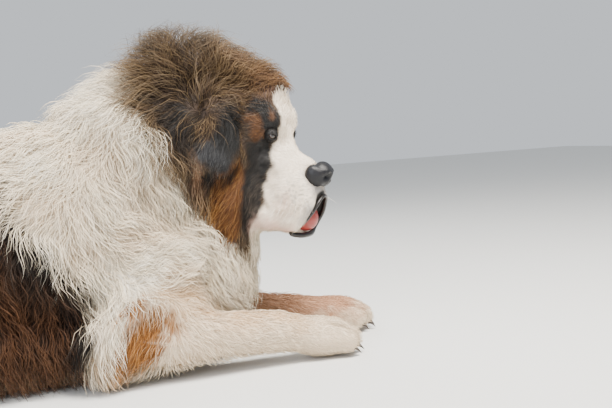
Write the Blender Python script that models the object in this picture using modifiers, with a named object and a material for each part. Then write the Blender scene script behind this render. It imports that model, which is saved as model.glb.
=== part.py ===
"""A Saint Bernard lying on its chest, life size, as solids that meet without overlap.

The frame: +X towards the dog's forefeet, +Y to its left, +Z up, the floor at Z = 0 and the origin
on the floor under its breastbone. Every outline is that of the coat, out to the tips of the hair.
"""

import math

import bmesh
import bpy
from mathutils import Euler, Matrix, Vector

# Driving sizes, in metres
TRUNK_HALF_WIDTH = 0.215
WITHERS_HEIGHT = 0.525
ELBOW_SPREAD = 0.185
HEAD_PLACE = Vector((0.420, -0.030, 0.442))
HEAD_TURN = math.radians(-34)
HEAD_DROP = math.radians(25.5)
EYE_RADIUS = 0.0125
JOIN_GAP = 0.0008
FLOOR_DEPTH = 0.2

SIDES = {"left": 1, "right": -1}

model = None


def clear_scene():
    for thing in list(bpy.data.objects):
        bpy.data.objects.remove(thing, do_unlink=True)
    for group in list(bpy.data.collections):
        bpy.data.collections.remove(group)


def collection(name):
    made = bpy.data.collections.new(name)
    bpy.context.scene.collection.children.link(made)
    return made


def material(name, colour, roughness):
    made = bpy.data.materials.new(name)
    made.use_nodes = True
    shader = made.node_tree.nodes["Principled BSDF"]
    shader.inputs["Base Color"].default_value = (*colour, 1.0)
    shader.inputs["Roughness"].default_value = roughness
    shader.inputs["Metallic"].default_value = 0.0
    return made


def mass(centre, radii, pitch=0.0, turn=0.0, roll=0.0):
    """An ellipsoid of flesh and coat. Angles are in degrees: pitch lowers its front end."""
    bpy.ops.mesh.primitive_ico_sphere_add(subdivisions=4, radius=1.0)
    ball = bpy.context.object
    ball.scale = radii
    ball.rotation_euler = Euler([math.radians(a) for a in (roll, pitch, turn)])
    ball.location = centre
    return ball


def limb(points):
    """A tapering round tube with ball ends through points of (x, y, z, radius)."""
    path = bpy.data.curves.new("limb", "CURVE")
    path.dimensions = "3D"
    path.resolution_u = 6
    path.bevel_depth = 1.0
    path.bevel_resolution = 4
    path.use_fill_caps = True
    line = path.splines.new("BEZIER")
    line.bezier_points.add(len(points) - 1)
    for spot, (x, y, z, radius) in zip(line.bezier_points, points):
        spot.co = (x, y, z)
        spot.radius = radius
        spot.handle_left_type = "AUTO"
        spot.handle_right_type = "AUTO"
    tube = bpy.data.objects.new("limb", path)
    bpy.context.scene.collection.objects.link(tube)
    ends = [mass(p[:3], (p[3],) * 3) for p in (points[0], points[-1])]
    return [tube, *ends]


def as_mesh(thing):
    """The evaluated mesh of an object, in world space. The object is removed."""
    bpy.context.view_layer.update()
    graph = bpy.context.evaluated_depsgraph_get()
    mesh = bpy.data.meshes.new_from_object(thing.evaluated_get(graph))
    mesh.transform(thing.matrix_world)
    bpy.data.objects.remove(thing, do_unlink=True)
    return mesh


def settle(thing):
    """Takes the modifiers into the object's own mesh."""
    graph = bpy.context.evaluated_depsgraph_get()
    mesh = bpy.data.meshes.new_from_object(thing.evaluated_get(graph))
    thing.modifiers.clear()
    thing.data = mesh


def triangle_count(thing):
    thing.data.calc_loop_triangles()
    return len(thing.data.loop_triangles)


def fused(name, pieces, voxel, smoothing, triangles):
    """One closed surface round overlapping masses, smoothed, then thinned to about that many triangles."""
    shape = bmesh.new()
    for piece in pieces:
        mesh = as_mesh(piece)
        shape.from_mesh(mesh)
        bpy.data.meshes.remove(mesh)
    bmesh.ops.remove_doubles(shape, verts=shape.verts, dist=0.00005)
    mesh = bpy.data.meshes.new(name)
    shape.to_mesh(mesh)
    shape.free()
    body = bpy.data.objects.new(name, mesh)
    model.objects.link(body)
    remesh = body.modifiers.new("fuse", "REMESH")
    remesh.mode = "VOXEL"
    remesh.voxel_size = voxel
    smooth = body.modifiers.new("smooth", "SMOOTH")
    smooth.factor = 0.5
    smooth.iterations = smoothing
    settle(body)
    thin = body.modifiers.new("thin", "DECIMATE")
    thin.ratio = min(1.0, triangles / triangle_count(body))
    thin.use_collapse_triangulate = True
    settle(body)
    return body


def boolean(thing, other, operation):
    cut = thing.modifiers.new("cut", "BOOLEAN")
    cut.operation = operation
    cut.solver = "EXACT"
    cut.object = other
    settle(thing)


def grown(thing):
    """A copy that stands proud of the original by the gap between two pieces."""
    copy = bpy.data.objects.new("grown", thing.data.copy())
    bpy.context.scene.collection.objects.link(copy)
    shape = bmesh.new()
    shape.from_mesh(copy.data)
    shape.normal_update()
    moves = [spot.normal * spot.calc_shell_factor() * JOIN_GAP for spot in shape.verts]
    for spot, move in zip(shape.verts, moves):
        spot.co += move
    shape.to_mesh(copy.data)
    shape.free()
    return copy


def make_room(thing, *neighbours):
    """Cuts a pocket in thing for each neighbour, a gap wider, and no narrower than it in a sharp crease."""
    for neighbour in neighbours:
        cutter = grown(neighbour)
        boolean(thing, cutter, "DIFFERENCE")
        boolean(thing, neighbour, "DIFFERENCE")
        bpy.data.objects.remove(cutter, do_unlink=True)


def box(centre, size, rotation=(0.0, 0.0, 0.0)):
    bpy.ops.mesh.primitive_cube_add(size=1.0)
    block = bpy.context.object
    block.scale = size
    block.rotation_euler = Euler([math.radians(a) for a in rotation])
    block.location = centre
    bpy.ops.object.transform_apply(location=True, rotation=True, scale=True)
    return block


def set_on_floor(thing):
    """Trims the underside flat at the floor."""
    ground = box((0, 0, -FLOOR_DEPTH / 2), (4, 4, FLOOR_DEPTH))
    boolean(thing, ground, "DIFFERENCE")
    bpy.data.objects.remove(ground, do_unlink=True)


def kept(thing, centre, normal, way):
    """The side of a thin plane cut that lies along the normal (way 1) or behind it (way -1)."""
    turn = Vector(normal).to_track_quat("Z", "X").to_euler()
    shift = Vector(normal).normalized() * (way * (JOIN_GAP / 2 + 1.0))
    keep = box(Vector(centre) + shift, (2, 2, 2), [math.degrees(a) for a in turn])
    boolean(thing, keep, "INTERSECT")
    bpy.data.objects.remove(keep, do_unlink=True)
    return thing


def parted(thing, centre, normal, names):
    """Parts one solid by a thin plane cut: names[0] is the side that the normal points to."""
    other = bpy.data.objects.new(names[1], thing.data.copy())
    model.objects.link(other)
    kept(other, centre, normal, -1)
    kept(thing, centre, normal, 1).name = names[0]


def paw_parted(leg, wrist, height, names):
    """Parts the foot ahead of the wrist, and no higher than that height, from the rest of the leg."""
    reach = 0.4
    foot = bpy.data.objects.new(names[0], leg.data.copy())
    model.objects.link(foot)
    for thing, gap, operation in ((foot, 0.0, "INTERSECT"), (leg, JOIN_GAP, "DIFFERENCE")):
        size = (reach, reach, 2 * (height + gap))
        block = box((wrist[0] - gap + reach / 2, wrist[1], 0), size)
        boolean(thing, block, operation)
        bpy.data.objects.remove(block, do_unlink=True)
    leg.name = names[1]


def finish(thing, look):
    thing.data.materials.clear()
    thing.data.materials.append(look)


def head_frame():
    """Places the head's own axes: x along the bridge of the muzzle, z up through the skull."""
    turn = Euler((0.0, HEAD_DROP, HEAD_TURN), "XYZ").to_matrix().to_4x4()
    return Matrix.Translation(HEAD_PLACE) @ turn


def in_head(pieces):
    """Carries pieces modelled in the head's own axes to the head's place."""
    frame = head_frame()
    bpy.context.view_layer.update()
    for piece in pieces:
        piece.matrix_world = frame @ piece.matrix_world
    return pieces


def both_sides(maker):
    """The same masses on the left and right of a middle plane."""
    return [piece for side in (1, -1) for piece in maker(side)]


def make_trunk():
    """Barrel, shoulders, loin and croup, with the long hair that spreads where they meet the floor."""
    half = TRUNK_HALF_WIDTH
    top = WITHERS_HEIGHT
    barrel = mass((0.00, 0, 0.262), (0.300, half, 0.262))
    withers = mass((0.080, 0, top - 0.190), (0.200, 0.180, 0.203))
    breast = mass((0.24, 0, 0.205), (0.140, 0.155, 0.195))
    skirt = mass((-0.090, 0, 0.085), (0.340, half, 0.115))
    back = mass((-0.180, 0, 0.300), (0.370, 0.165, 0.198), pitch=-3)
    loin = mass((-0.24, 0, 0.265), (0.290, 0.188, 0.222))
    belly = mass((-0.22, 0, 0.140), (0.300, 0.200, 0.160))
    croup = mass((-0.44, 0, 0.258), (0.195, 0.168, 0.208))
    return [barrel, withers, breast, skirt, back, loin, belly, croup]


def make_neck():
    """The arched neck, the ruff that hangs from throat to breast and the wind-blown crest on the nape."""
    root = mass((0.165, -0.005, 0.405), (0.165, 0.160, 0.200), pitch=-35)
    middle = mass((0.260, -0.005, 0.440), (0.140, 0.128, 0.160), pitch=-30)
    nape = mass((0.185, 0.005, 0.545), (0.110, 0.092, 0.085), pitch=-25)
    crest = mass((0.285, 0.012, 0.605), (0.108, 0.105, 0.094))
    forelock = mass((0.350, -0.004, 0.600), (0.085, 0.092, 0.064), pitch=20)
    throat = mass((0.335, -0.020, 0.330), (0.107, 0.112, 0.150), pitch=20)
    ruff = mass((0.315, -0.008, 0.205), (0.102, 0.128, 0.130))
    return [root, middle, nape, crest, forelock, throat, ruff]


def make_skull():
    """Cranium with its coat, brows, cheeks, muzzle and hanging flews, in the head's own axes."""
    cranium = mass((-0.045, 0, 0.050), (0.110, 0.100, 0.086))
    topknot = mass((-0.055, 0, 0.105), (0.085, 0.082, 0.064), pitch=10)
    forehead = mass((0.000, 0, 0.066), (0.064, 0.052, 0.050), pitch=14)
    bridge = mass((0.105, 0, -0.018), (0.072, 0.032, 0.040))
    muzzle = mass((0.118, 0, -0.048), (0.064, 0.046, 0.054))
    stop = mass((0.040, 0, 0.014), (0.050, 0.040, 0.044))

    def one_side(side):
        brow = mass((0.026, side * 0.036, 0.062), (0.036, 0.034, 0.030))
        temple = mass((-0.018, side * 0.062, 0.030), (0.062, 0.040, 0.056))
        cheek = mass((-0.030, side * 0.070, -0.050), (0.080, 0.048, 0.098), pitch=-12)
        beard = mass((-0.085, side * 0.072, -0.010), (0.065, 0.058, 0.105), pitch=-14)
        under_eye = mass((0.052, side * 0.041, -0.038), (0.050, 0.030, 0.052))
        flew = mass((0.128, side * 0.038, -0.082), (0.053, 0.025, 0.070), pitch=8, turn=side * -5)
        corner = mass((0.092, side * 0.045, -0.112), (0.046, 0.027, 0.052), pitch=8)
        return [brow, temple, cheek, beard, under_eye, flew, corner]

    return [cranium, topknot, forehead, bridge, muzzle, stop, *both_sides(one_side)]


def make_mouth():
    """The gap between the hanging flews, under the nose, that shows the tongue and the lower lip."""
    return [
        mass((0.177, 0, -0.108), (0.046, 0.035, 0.046)),
        mass((0.172, 0, -0.130), (0.046, 0.051, 0.036)),
    ]


def make_lower_jaw():
    """The lower jaw behind the flews, with its lip, and the loose skin that runs into the throat."""
    spine = limb([(0.052, 0, -0.124, 0.032), (0.085, 0, -0.127, 0.032), (0.120, 0, -0.130, 0.027)])
    chin = mass((0.144, 0, -0.130), (0.028, 0.036, 0.017), pitch=-8)
    return [*spine, chin]


def make_nose():
    """The square nose leather with its two rounded wings."""
    wing_size = (0.024, 0.015, 0.017)
    wings = [mass((0.153, side * 0.021, -0.006), wing_size, turn=side * -22) for side in (1, -1)]
    return [mass((0.162, 0, 0.000), (0.022, 0.026, 0.021), pitch=20), *wings]


def make_ear(side):
    """A hanging ear flap: broad at its fold above, rounded at its tip beside the cheek."""
    fold = mass((-0.058, side * 0.100, 0.052), (0.044, 0.034, 0.028), roll=side * -32)
    flap = mass((-0.040, side * 0.122, -0.002), (0.054, 0.019, 0.064), roll=side * -3, pitch=-8)
    tip = mass((-0.030, side * 0.127, -0.040), (0.040, 0.016, 0.036))
    return [fold, flap, tip]


def make_foreleg(shoulder, elbow, forearm, wrist, paw, toe_turn):
    """Upper arm, elbow, forearm and a broad paw, laid along the floor."""
    arm = limb([(*shoulder, 0.088), (*elbow, 0.076)])
    crook_place = (Vector(shoulder) + Vector(forearm)) / 2 - Vector((0.020, 0, 0))
    crook = mass(crook_place, (0.090, 0.072, 0.072), pitch=35)
    lower = limb([(*elbow, 0.074), (*forearm, 0.060), (*wrist, 0.047)])
    pad = mass(paw, (0.078, 0.052, 0.045), turn=toe_turn, pitch=4)
    heel = limb([(*wrist, 0.046), (*paw, 0.040)])
    ahead = Vector((math.cos(math.radians(toe_turn)), math.sin(math.radians(toe_turn)), 0))
    across = Vector((-ahead.y, ahead.x, 0))
    toes = []
    for reach, offset in ((0.040, -0.036), (0.056, -0.013), (0.056, 0.013), (0.040, 0.036)):
        place = Vector(paw) + ahead * reach + across * offset
        place.z = 0.032
        toes.append(mass(place, (0.034, 0.019, 0.032), turn=toe_turn + offset * 300))
    return [*arm, crook, *lower, pad, *heel, *toes]


def make_hindleg(side):
    """Thigh folded over the shank, hock on the floor and the paw pointing forward."""
    thigh = mass((-0.385, side * 0.160, 0.215), (0.170, 0.092, 0.170), pitch=12)
    hip = mass((-0.470, side * 0.100, 0.280), (0.115, 0.085, 0.140))
    knee = (-0.270, side * 0.212, 0.170)
    hock = (-0.500, side * 0.232, 0.062)
    instep = (-0.350, side * 0.246, 0.042)
    paw = (-0.265, side * 0.250, 0.040)
    shank = limb([(*knee, 0.080), (*hock, 0.056)])
    foot = limb([(*hock, 0.052), (*instep, 0.044), (*paw, 0.040)])
    pad = mass(paw, (0.070, 0.048, 0.042))
    toes = []
    for reach, offset in ((0.036, -0.033), (0.050, -0.012), (0.050, 0.012), (0.036, 0.033)):
        place = (paw[0] + reach, paw[1] + offset, 0.029)
        toes.append(mass(place, (0.031, 0.017, 0.029)))
    return [thigh, hip, *shank, *foot, pad, *toes]


def make_tail():
    """A heavy bushy tail, dropping from the croup and laid round to the left on the floor."""
    return limb(
        [
            (-0.540, 0.000, 0.250, 0.085),
            (-0.640, 0.010, 0.180, 0.080),
            (-0.725, 0.035, 0.105, 0.080),
            (-0.790, 0.095, 0.072, 0.078),
            (-0.815, 0.190, 0.066, 0.072),
            (-0.790, 0.285, 0.054, 0.058),
            (-0.735, 0.360, 0.036, 0.034),
        ]
    )


def build():
    global model
    clear_scene()
    model = collection("saint_bernard")
    white = material("white_coat", (0.82, 0.79, 0.72), 0.9)
    brown = material("brown_coat", (0.30, 0.15, 0.07), 0.9)
    leather = material("nose_leather", (0.06, 0.06, 0.07), 0.45)
    wet_red = material("tongue_flesh", (0.62, 0.20, 0.19), 0.4)
    glassy = material("eye_amber", (0.10, 0.05, 0.02), 0.1)

    rest = fused("rest", make_trunk() + make_neck() + in_head(make_skull()), 0.010, 6, 1950)
    head = fused("head", make_neck() + in_head(make_skull()), 0.006, 5, 2250)
    mouth = fused("mouth", in_head(make_mouth()), 0.004, 2, 110)
    jaw = fused("lower_jaw", in_head(make_lower_jaw()), 0.005, 3, 240)
    tongue_shape = [mass((0.138, 0, -0.100), (0.042, 0.026, 0.012), pitch=14)]
    tongue = fused("tongue", in_head(tongue_shape), 0.003, 2, 100)
    nose = fused("nose", in_head(make_nose()), 0.003, 3, 220)
    eyes = {}
    for word, side in SIDES.items():
        place = (0.044, side * 0.052, 0.036)
        eyes[word] = fused(f"eye_{word}", in_head([mass(place, (EYE_RADIUS,) * 3)]), 0.002, 1, 100)
    ears = {w: fused(f"ear_{w}", in_head(make_ear(s)), 0.005, 4, 220) for w, s in SIDES.items()}

    right = make_foreleg(
        (0.190, -0.135, 0.215), (0.075, -ELBOW_SPREAD, 0.076), (0.240, -0.180, 0.079),
        (0.405, -0.168, 0.066), (0.500, -0.158, 0.042), 4)
    left = make_foreleg(
        (0.200, 0.135, 0.215), (0.095, ELBOW_SPREAD, 0.072), (0.290, 0.150, 0.066),
        (0.480, 0.092, 0.052), (0.595, 0.058, 0.040), -14)
    forelegs = {
        "right": fused("foreleg", right, 0.008, 4, 440),
        "left": fused("foreleg", left, 0.008, 4, 440),
    }
    hindlegs = {w: fused("hindleg", make_hindleg(s), 0.009, 4, 400) for w, s in SIDES.items()}
    tail = fused("tail", make_tail(), 0.009, 4, 240)

    for word in SIDES:
        for leg in (forelegs[word], hindlegs[word]):
            set_on_floor(leg)
    set_on_floor(tail)
    set_on_floor(rest)

    nape = ((0.270, -0.020, 0.460), (0.83, -0.30, 0.466))
    head = kept(head, *nape, 1)
    rest = kept(rest, *nape, -1)
    boolean(head, mouth, "DIFFERENCE")
    bpy.data.objects.remove(mouth, do_unlink=True)
    make_room(head, *eyes.values(), nose, *ears.values(), tongue, jaw)
    make_room(jaw, tongue)
    for leg in hindlegs.values():
        make_room(leg, tail)
    make_room(rest, *ears.values(), *forelegs.values(), *hindlegs.values(), tail)
    parted(rest, (0.165, 0, 0.36), (0.80, 0, 0.60), ("neck", "trunk"))
    for word, side in SIDES.items():
        fore_wrist = (0.430, -0.163) if word == "right" else (0.508, 0.083)
        hock = (-0.345, side * 0.246)
        paw_parted(forelegs[word], fore_wrist, 0.200, (f"forepaw_{word}", f"foreleg_{word}"))
        paw_parted(hindlegs[word], hock, 0.086, (f"hindpaw_{word}", f"hindleg_{word}"))

    looks = {"nose": leather, "tongue": wet_red, "trunk": brown, "head": brown}
    for thing in model.objects:
        look = looks.get(thing.name, glassy if thing.name.startswith("eye") else white)
        finish(thing, look)


build()
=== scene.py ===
"""The looks of a life-size long-coated Saint Bernard that lies on its chest with its head raised.

The frame's axes: +X towards the forefeet, +Y to the dog's left, +Z up, the floor at Z = 0.
"""
import math

import bmesh
import bpy
import numpy as np
from mathutils import Euler, Matrix, Vector, noise
from mathutils.bvhtree import BVHTree


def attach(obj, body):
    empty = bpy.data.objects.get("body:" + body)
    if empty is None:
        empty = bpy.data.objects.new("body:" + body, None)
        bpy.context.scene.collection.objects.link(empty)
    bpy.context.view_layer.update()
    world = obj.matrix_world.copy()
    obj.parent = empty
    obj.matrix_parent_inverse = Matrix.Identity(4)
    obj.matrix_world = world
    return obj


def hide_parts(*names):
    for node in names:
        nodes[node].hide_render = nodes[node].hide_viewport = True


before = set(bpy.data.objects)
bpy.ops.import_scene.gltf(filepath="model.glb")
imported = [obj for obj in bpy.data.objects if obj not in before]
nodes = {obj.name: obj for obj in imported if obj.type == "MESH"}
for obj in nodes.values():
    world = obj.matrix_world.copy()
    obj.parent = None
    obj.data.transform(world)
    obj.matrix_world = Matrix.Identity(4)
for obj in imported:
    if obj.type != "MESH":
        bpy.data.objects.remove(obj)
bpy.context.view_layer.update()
scene = bpy.context.scene


# The photographer's place
# A standing person's view, a little above the dog's head and almost square to its right side, with
# a short telephoto lens. The horizon tips 4 degrees, as the dog lies on a slope.
VIEW_PLACE = Vector((0.05, -1.91, 0.455))
VIEW_YAW = math.radians(14)
VIEW_DOWN = math.radians(4.5)
VIEW_ROLL = math.radians(-4)

ahead = Vector((math.sin(VIEW_YAW) * math.cos(VIEW_DOWN), math.cos(VIEW_YAW) * math.cos(VIEW_DOWN),
                -math.sin(VIEW_DOWN)))
level = Vector((math.cos(VIEW_YAW), -math.sin(VIEW_YAW), 0))
upright = level.cross(ahead)
picture_right = level * math.cos(VIEW_ROLL) + upright * math.sin(VIEW_ROLL)
picture_up = upright * math.cos(VIEW_ROLL) - level * math.sin(VIEW_ROLL)

lens = bpy.data.cameras.new("camera")
lens.lens = 53
lens.sensor_width = 36
lens.sensor_fit = "HORIZONTAL"
camera = bpy.data.objects.new("camera", lens)
scene.collection.objects.link(camera)
turned = Matrix((picture_right, picture_up, -ahead)).transposed().to_4x4()
camera.matrix_world = Matrix.Translation(VIEW_PLACE) @ turned
scene.camera = camera


# The studio
# A plain pale floor of painted board, a big soft light above and ahead of the dog, a weaker one from
# the camera's side and an even pale surround, as under a bright overcast sky.
def srgb(code):
    """A hex colour as linear red, green and blue."""
    parts = [int(code[i:i + 2], 16) / 255 for i in (1, 3, 5)]
    return [p / 12.92 if p <= 0.04045 else ((p + 0.055) / 1.055) ** 2.4 for p in parts]


def node(tree, kind, settings=None, links=()):
    """Adds a node. Its inputs, in order or by name, get a value, a node or (node, output)."""
    made = tree.nodes.new(kind)
    for key, value in (settings or {}).items():
        setattr(made, key, value)
    for key, value in links.items() if isinstance(links, dict) else enumerate(links):
        if isinstance(value, bpy.types.Node):
            value = (value, 0)
        if isinstance(value, tuple) and isinstance(value[0], bpy.types.Node):
            tree.links.new(value[0].outputs[value[1]], made.inputs[key])
        else:
            made.inputs[key].default_value = value
    return made


def new_material(name, colour, relief=None, **settings):
    """A material of one hex colour, or of a mesh's own named colours.

    Its relief is a pattern, the output to read, its grain in mm, more inputs, its strength and its depth in mm.
    """
    made = bpy.data.materials.new(name)
    made.use_nodes = True
    tree = made.node_tree
    shader = tree.nodes["Principled BSDF"]
    if colour.startswith("#"):
        shader.inputs["Base Color"].default_value = (*srgb(colour), 1)
    else:
        dye = node(tree, "ShaderNodeVertexColor", {"layer_name": colour})
        tree.links.new(dye.outputs["Color"], shader.inputs["Base Color"])
    for key, value in settings.items():
        shader.inputs[key.replace("_", " ")].default_value = value
    if relief:
        kind, output, grain, inputs, strength, depth = relief
        inputs = {"Scale": round(1000 / grain), **inputs}
        where = node(tree, "ShaderNodeTexCoord")
        texture = node(tree, "ShaderNodeTex" + kind, None, {"Vector": (where, "Object"), **inputs})
        links = {"Height": (texture, output), "Strength": strength, "Distance": depth / 1000}
        bump = node(tree, "ShaderNodeBump", None, links)
        tree.links.new(bump.outputs["Normal"], shader.inputs["Normal"])
    return made


FLOOR_SIZE = 14.0
bpy.ops.mesh.primitive_plane_add(size=FLOOR_SIZE, location=(0, 3, -0.001))
floor = bpy.context.object
floor.name = "studio_floor"
floor.data.materials.append(new_material("painted board", "#D9D9D6", Roughness=0.85))


def soft_light(name, place, aim, size, watts, tint):
    lamp = bpy.data.lights.new(name, "AREA")
    lamp.shape = "DISK"
    lamp.size = size
    lamp.energy = watts
    lamp.color = srgb(tint)
    holder = bpy.data.objects.new(name, lamp)
    scene.collection.objects.link(holder)
    holder.location = place
    holder.rotation_mode = "QUATERNION"
    holder.rotation_quaternion = (Vector(aim) - Vector(place)).to_track_quat("-Z", "Y")


soft_light("overhead", (0.9, -1.2, 2.9), (0.1, 0, 0.3), 1.5, 335, "#FFF9F0")
soft_light("fill", (-1.6, -2.6, 1.6), (0, 0, 0.3), 2.0, 72, "#F4F7FF")
soft_light("behind", (-0.6, 2.4, 2.0), (0, 0, 0.4), 2.0, 50, "#FFFFFF")
world = bpy.data.worlds.new("studio")
scene.world = world
world.use_nodes = True
surround = world.node_tree.nodes["Background"]
surround.inputs["Color"].default_value = (*srgb("#DDE2E8"), 1)
surround.inputs["Strength"].default_value = 1.0


# The head's own axes
# Folds, markings and the lie of the hair on the head are given from the middle of the skull: x along
# the bridge of the muzzle, y to the dog's left and z up through the skull.
HEAD_PLACE = Vector((0.420, -0.030, 0.442))
HEAD_TURN = math.radians(-34)
HEAD_DROP = math.radians(25.5)
head_axes = Matrix.Translation(HEAD_PLACE) @ Euler((0, HEAD_DROP, HEAD_TURN)).to_matrix().to_4x4()
head_turn = np.array(head_axes.to_3x3())


def to_head(points):
    return (points - np.array(HEAD_PLACE)) @ head_turn


def from_head(points):
    return np.asarray(points) @ head_turn.T + np.array(HEAD_PLACE)


# The groom
# How the coat lies at chosen places, as a groomer would chart it: where, which way the hair runs,
# its length, how deep the skin lies under the outline, how far it stands up, and how wavy it is.
# Lengths and depths are in millimetres. Between the places the values blend.
CHART = (
    # place on the body (x, y, z) in centimetres, run (x, y, z), length, depth, stand, wave
    ((2, -10, 52), (-0.9, -0.2, -0.2), 65, 26, 0.3, 0.9),
    ((-15, -8, 51), (-1, -0.1, -0.2), 60, 24, 0.28, 0.8),
    ((10, -13, 50), (-0.6, -0.3, -0.7), 65, 28, 0.32, 0.9),
    ((2, -15, 45), (-0.8, 0, -0.6), 70, 28, 0.32, 0.9),
    ((-6, -13, 45), (-1, 0, -0.25), 70, 28, 0.32, 0.9),
    ((-5, -18, 38), (-0.9, 0, -0.5), 70, 28, 0.32, 0.9),
    ((0, -20, 32), (-0.5, 0, -0.9), 70, 28, 0.3, 0.9),
    ((5, -20, 34), (0.1, 0, -1), 70, 28, 0.26, 0.8),
    ((3, -21, 25), (0.1, 0, -1), 75, 28, 0.3, 0.9),
    ((7, -21, 19), (0.15, 0, -1), 85, 26, 0.34, 0.8),
    ((6, -25, 10), (0.3, 0, -1), 70, 22, 0.36, 0.3),
    ((11, -20, 30), (0.8, 0, -0.5), 65, 28, 0.22, 1),
    ((14, -20, 24), (1, 0, -0.2), 65, 26, 0.22, 1.2),
    ((22, -20, 22), (1, 0, -0.3), 65, 26, 0.22, 1.2),
    ((12, -19, 38), (0.2, 0, -1), 60, 28, 0.24, 0.9),
    ((17, -17, 43), (-0.1, 0, -1), 60, 28, 0.26, 1),
    ((22, -16, 38), (0.3, 0, -1), 65, 28, 0.26, 1),
    ((25, -14, 31), (0.3, 0, -1), 70, 28, 0.28, 1),
    ((31, -12, 23), (0.3, 0, -1), 75, 28, 0.3, 1),
    ((37, -10, 19), (0.4, 0, -1), 70, 26, 0.34, 1),
    ((38, -5, 28), (0.3, -0.2, -1), 55, 20, 0.3, 0.9),
    ((30, -12, 13), (0.5, 0, -0.9), 65, 22, 0.34, 0.5),
    ((40, 0, 16), (0.3, 0, -1), 70, 24, 0.36, 0.5),
    ((-12, -20, 32), (-0.3, 0, -1), 80, 30, 0.3, 1),
    ((-10, -21, 22), (0.1, 0, -1), 85, 30, 0.28, 1),
    ((-10, -20, 10), (0.1, 0, -1), 85, 26, 0.3, 0.6),
    ((-25, -17, 34), (-0.5, 0, -0.9), 70, 28, 0.28, 0.5),
    ((-25, -19, 15), (-0.3, 0, -1), 80, 26, 0.28, 0.5),
    ((-30, -5, 48), (-1, 0, -0.1), 60, 24, 0.26, 0.3),
    ((-45, -5, 46), (-1, 0, -0.2), 60, 24, 0.26, 0.3),
    ((-42, -18, 33), (-0.5, 0, -0.9), 65, 24, 0.26, 0.4),
    ((-33, -24, 22), (-0.5, 0, -0.9), 55, 20, 0.26, 0.4),
    ((-52, -15, 28), (-0.7, 0, -0.8), 80, 28, 0.34, 0.5),
    ((-60, -5, 25), (-0.6, 0, -0.8), 90, 30, 0.36, 0.5),
    ((-48, -24, 8), (-0.8, 0, -0.5), 35, 12, 0.26, 0.3),
    ((-38, -25, 6), (0.9, 0, -0.3), 22, 8, 0.22, 0.2),
    ((-25, -25, 5), (1, 0, -0.3), 14, 5, 0.22, 0.1),
    ((17, -24, 13), (-0.4, 0, -1), 45, 16, 0.36, 0.4),
    ((14, -24, 6), (-0.7, 0, -0.8), 45, 16, 0.36, 0.4),
    ((25, -22, 10), (0.9, 0, -0.5), 30, 12, 0.26, 0.3),
    ((24, -22, 4), (0.3, 0, -1), 28, 10, 0.36, 0.5),
    ((34, -20, 8), (1, 0, -0.3), 22, 8, 0.24, 0.2),
    ((42, -20, 6), (1, 0, -0.3), 18, 6, 0.22, 0.2),
    ((52, -19, 6), (1, 0, -0.4), 15, 5, 0.26, 0.2),
    ((62, 3, 5), (1, 0, -0.4), 15, 5, 0.24, 0.2),
)

# The same chart for the hair that the wind lifts off the nape, skull and ears: it runs out from a
# whorl above the ear and stands up along the crest. Places are those of the body's right side.
CREST_CHART = (
    ((14, -4, 59), (-1, 0.1, 0.3), 95, 38, 0.35, 1),
    ((18, -9, 58), (-1, 0, 0.3), 105, 38, 0.3, 1),
    ((20, -4, 65), (-0.9, 0, 0.5), 80, 60, 0.46, 1.2),
    ((25, -2, 68), (-0.6, -0.1, 0.6), 80, 60, 0.44, 1.2),
    ((22, -10, 62), (-0.7, 0, 0.9), 125, 55, 0.32, 1),
    ((26, -9, 63), (-0.2, 0, 1), 125, 60, 0.34, 1.1),
    ((32, -3, 67), (0.8, 0, 0.5), 80, 60, 0.44, 1.1),
    ((33, -10, 60), (0.6, 0, 1), 120, 48, 0.3, 1),
    ((38, -6, 62), (1, 0, 0.3), 85, 40, 0.42, 0.8),
    ((42, -8, 58), (1, 0, 0.1), 70, 26, 0.34, 0.6),
    ((45, -5, 57), (0.9, -0.1, -0.3), 50, 18, 0.32, 0.4),
    ((25, -11, 53), (-1, 0, 0.3), 115, 34, 0.26, 1),
    ((21, -12, 53), (-0.9, 0, -0.3), 105, 30, 0.26, 1),
    ((20, -13, 48), (0, 0, -1), 100, 26, 0.26, 1),
    ((26, -13, 47), (0.2, 0, -1), 95, 26, 0.28, 1.1),
    ((30, -11, 54), (0.2, 0, 1), 125, 34, 0.32, 1.1),
    ((29, -13, 49), (0, 0, -1), 90, 26, 0.3, 1.1),
    ((33, -12, 51), (0.9, 0, -0.2), 80, 24, 0.32, 1.1),
    ((36, -11, 55), (0.9, 0, 0.5), 85, 28, 0.32, 0.9),
)

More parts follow.
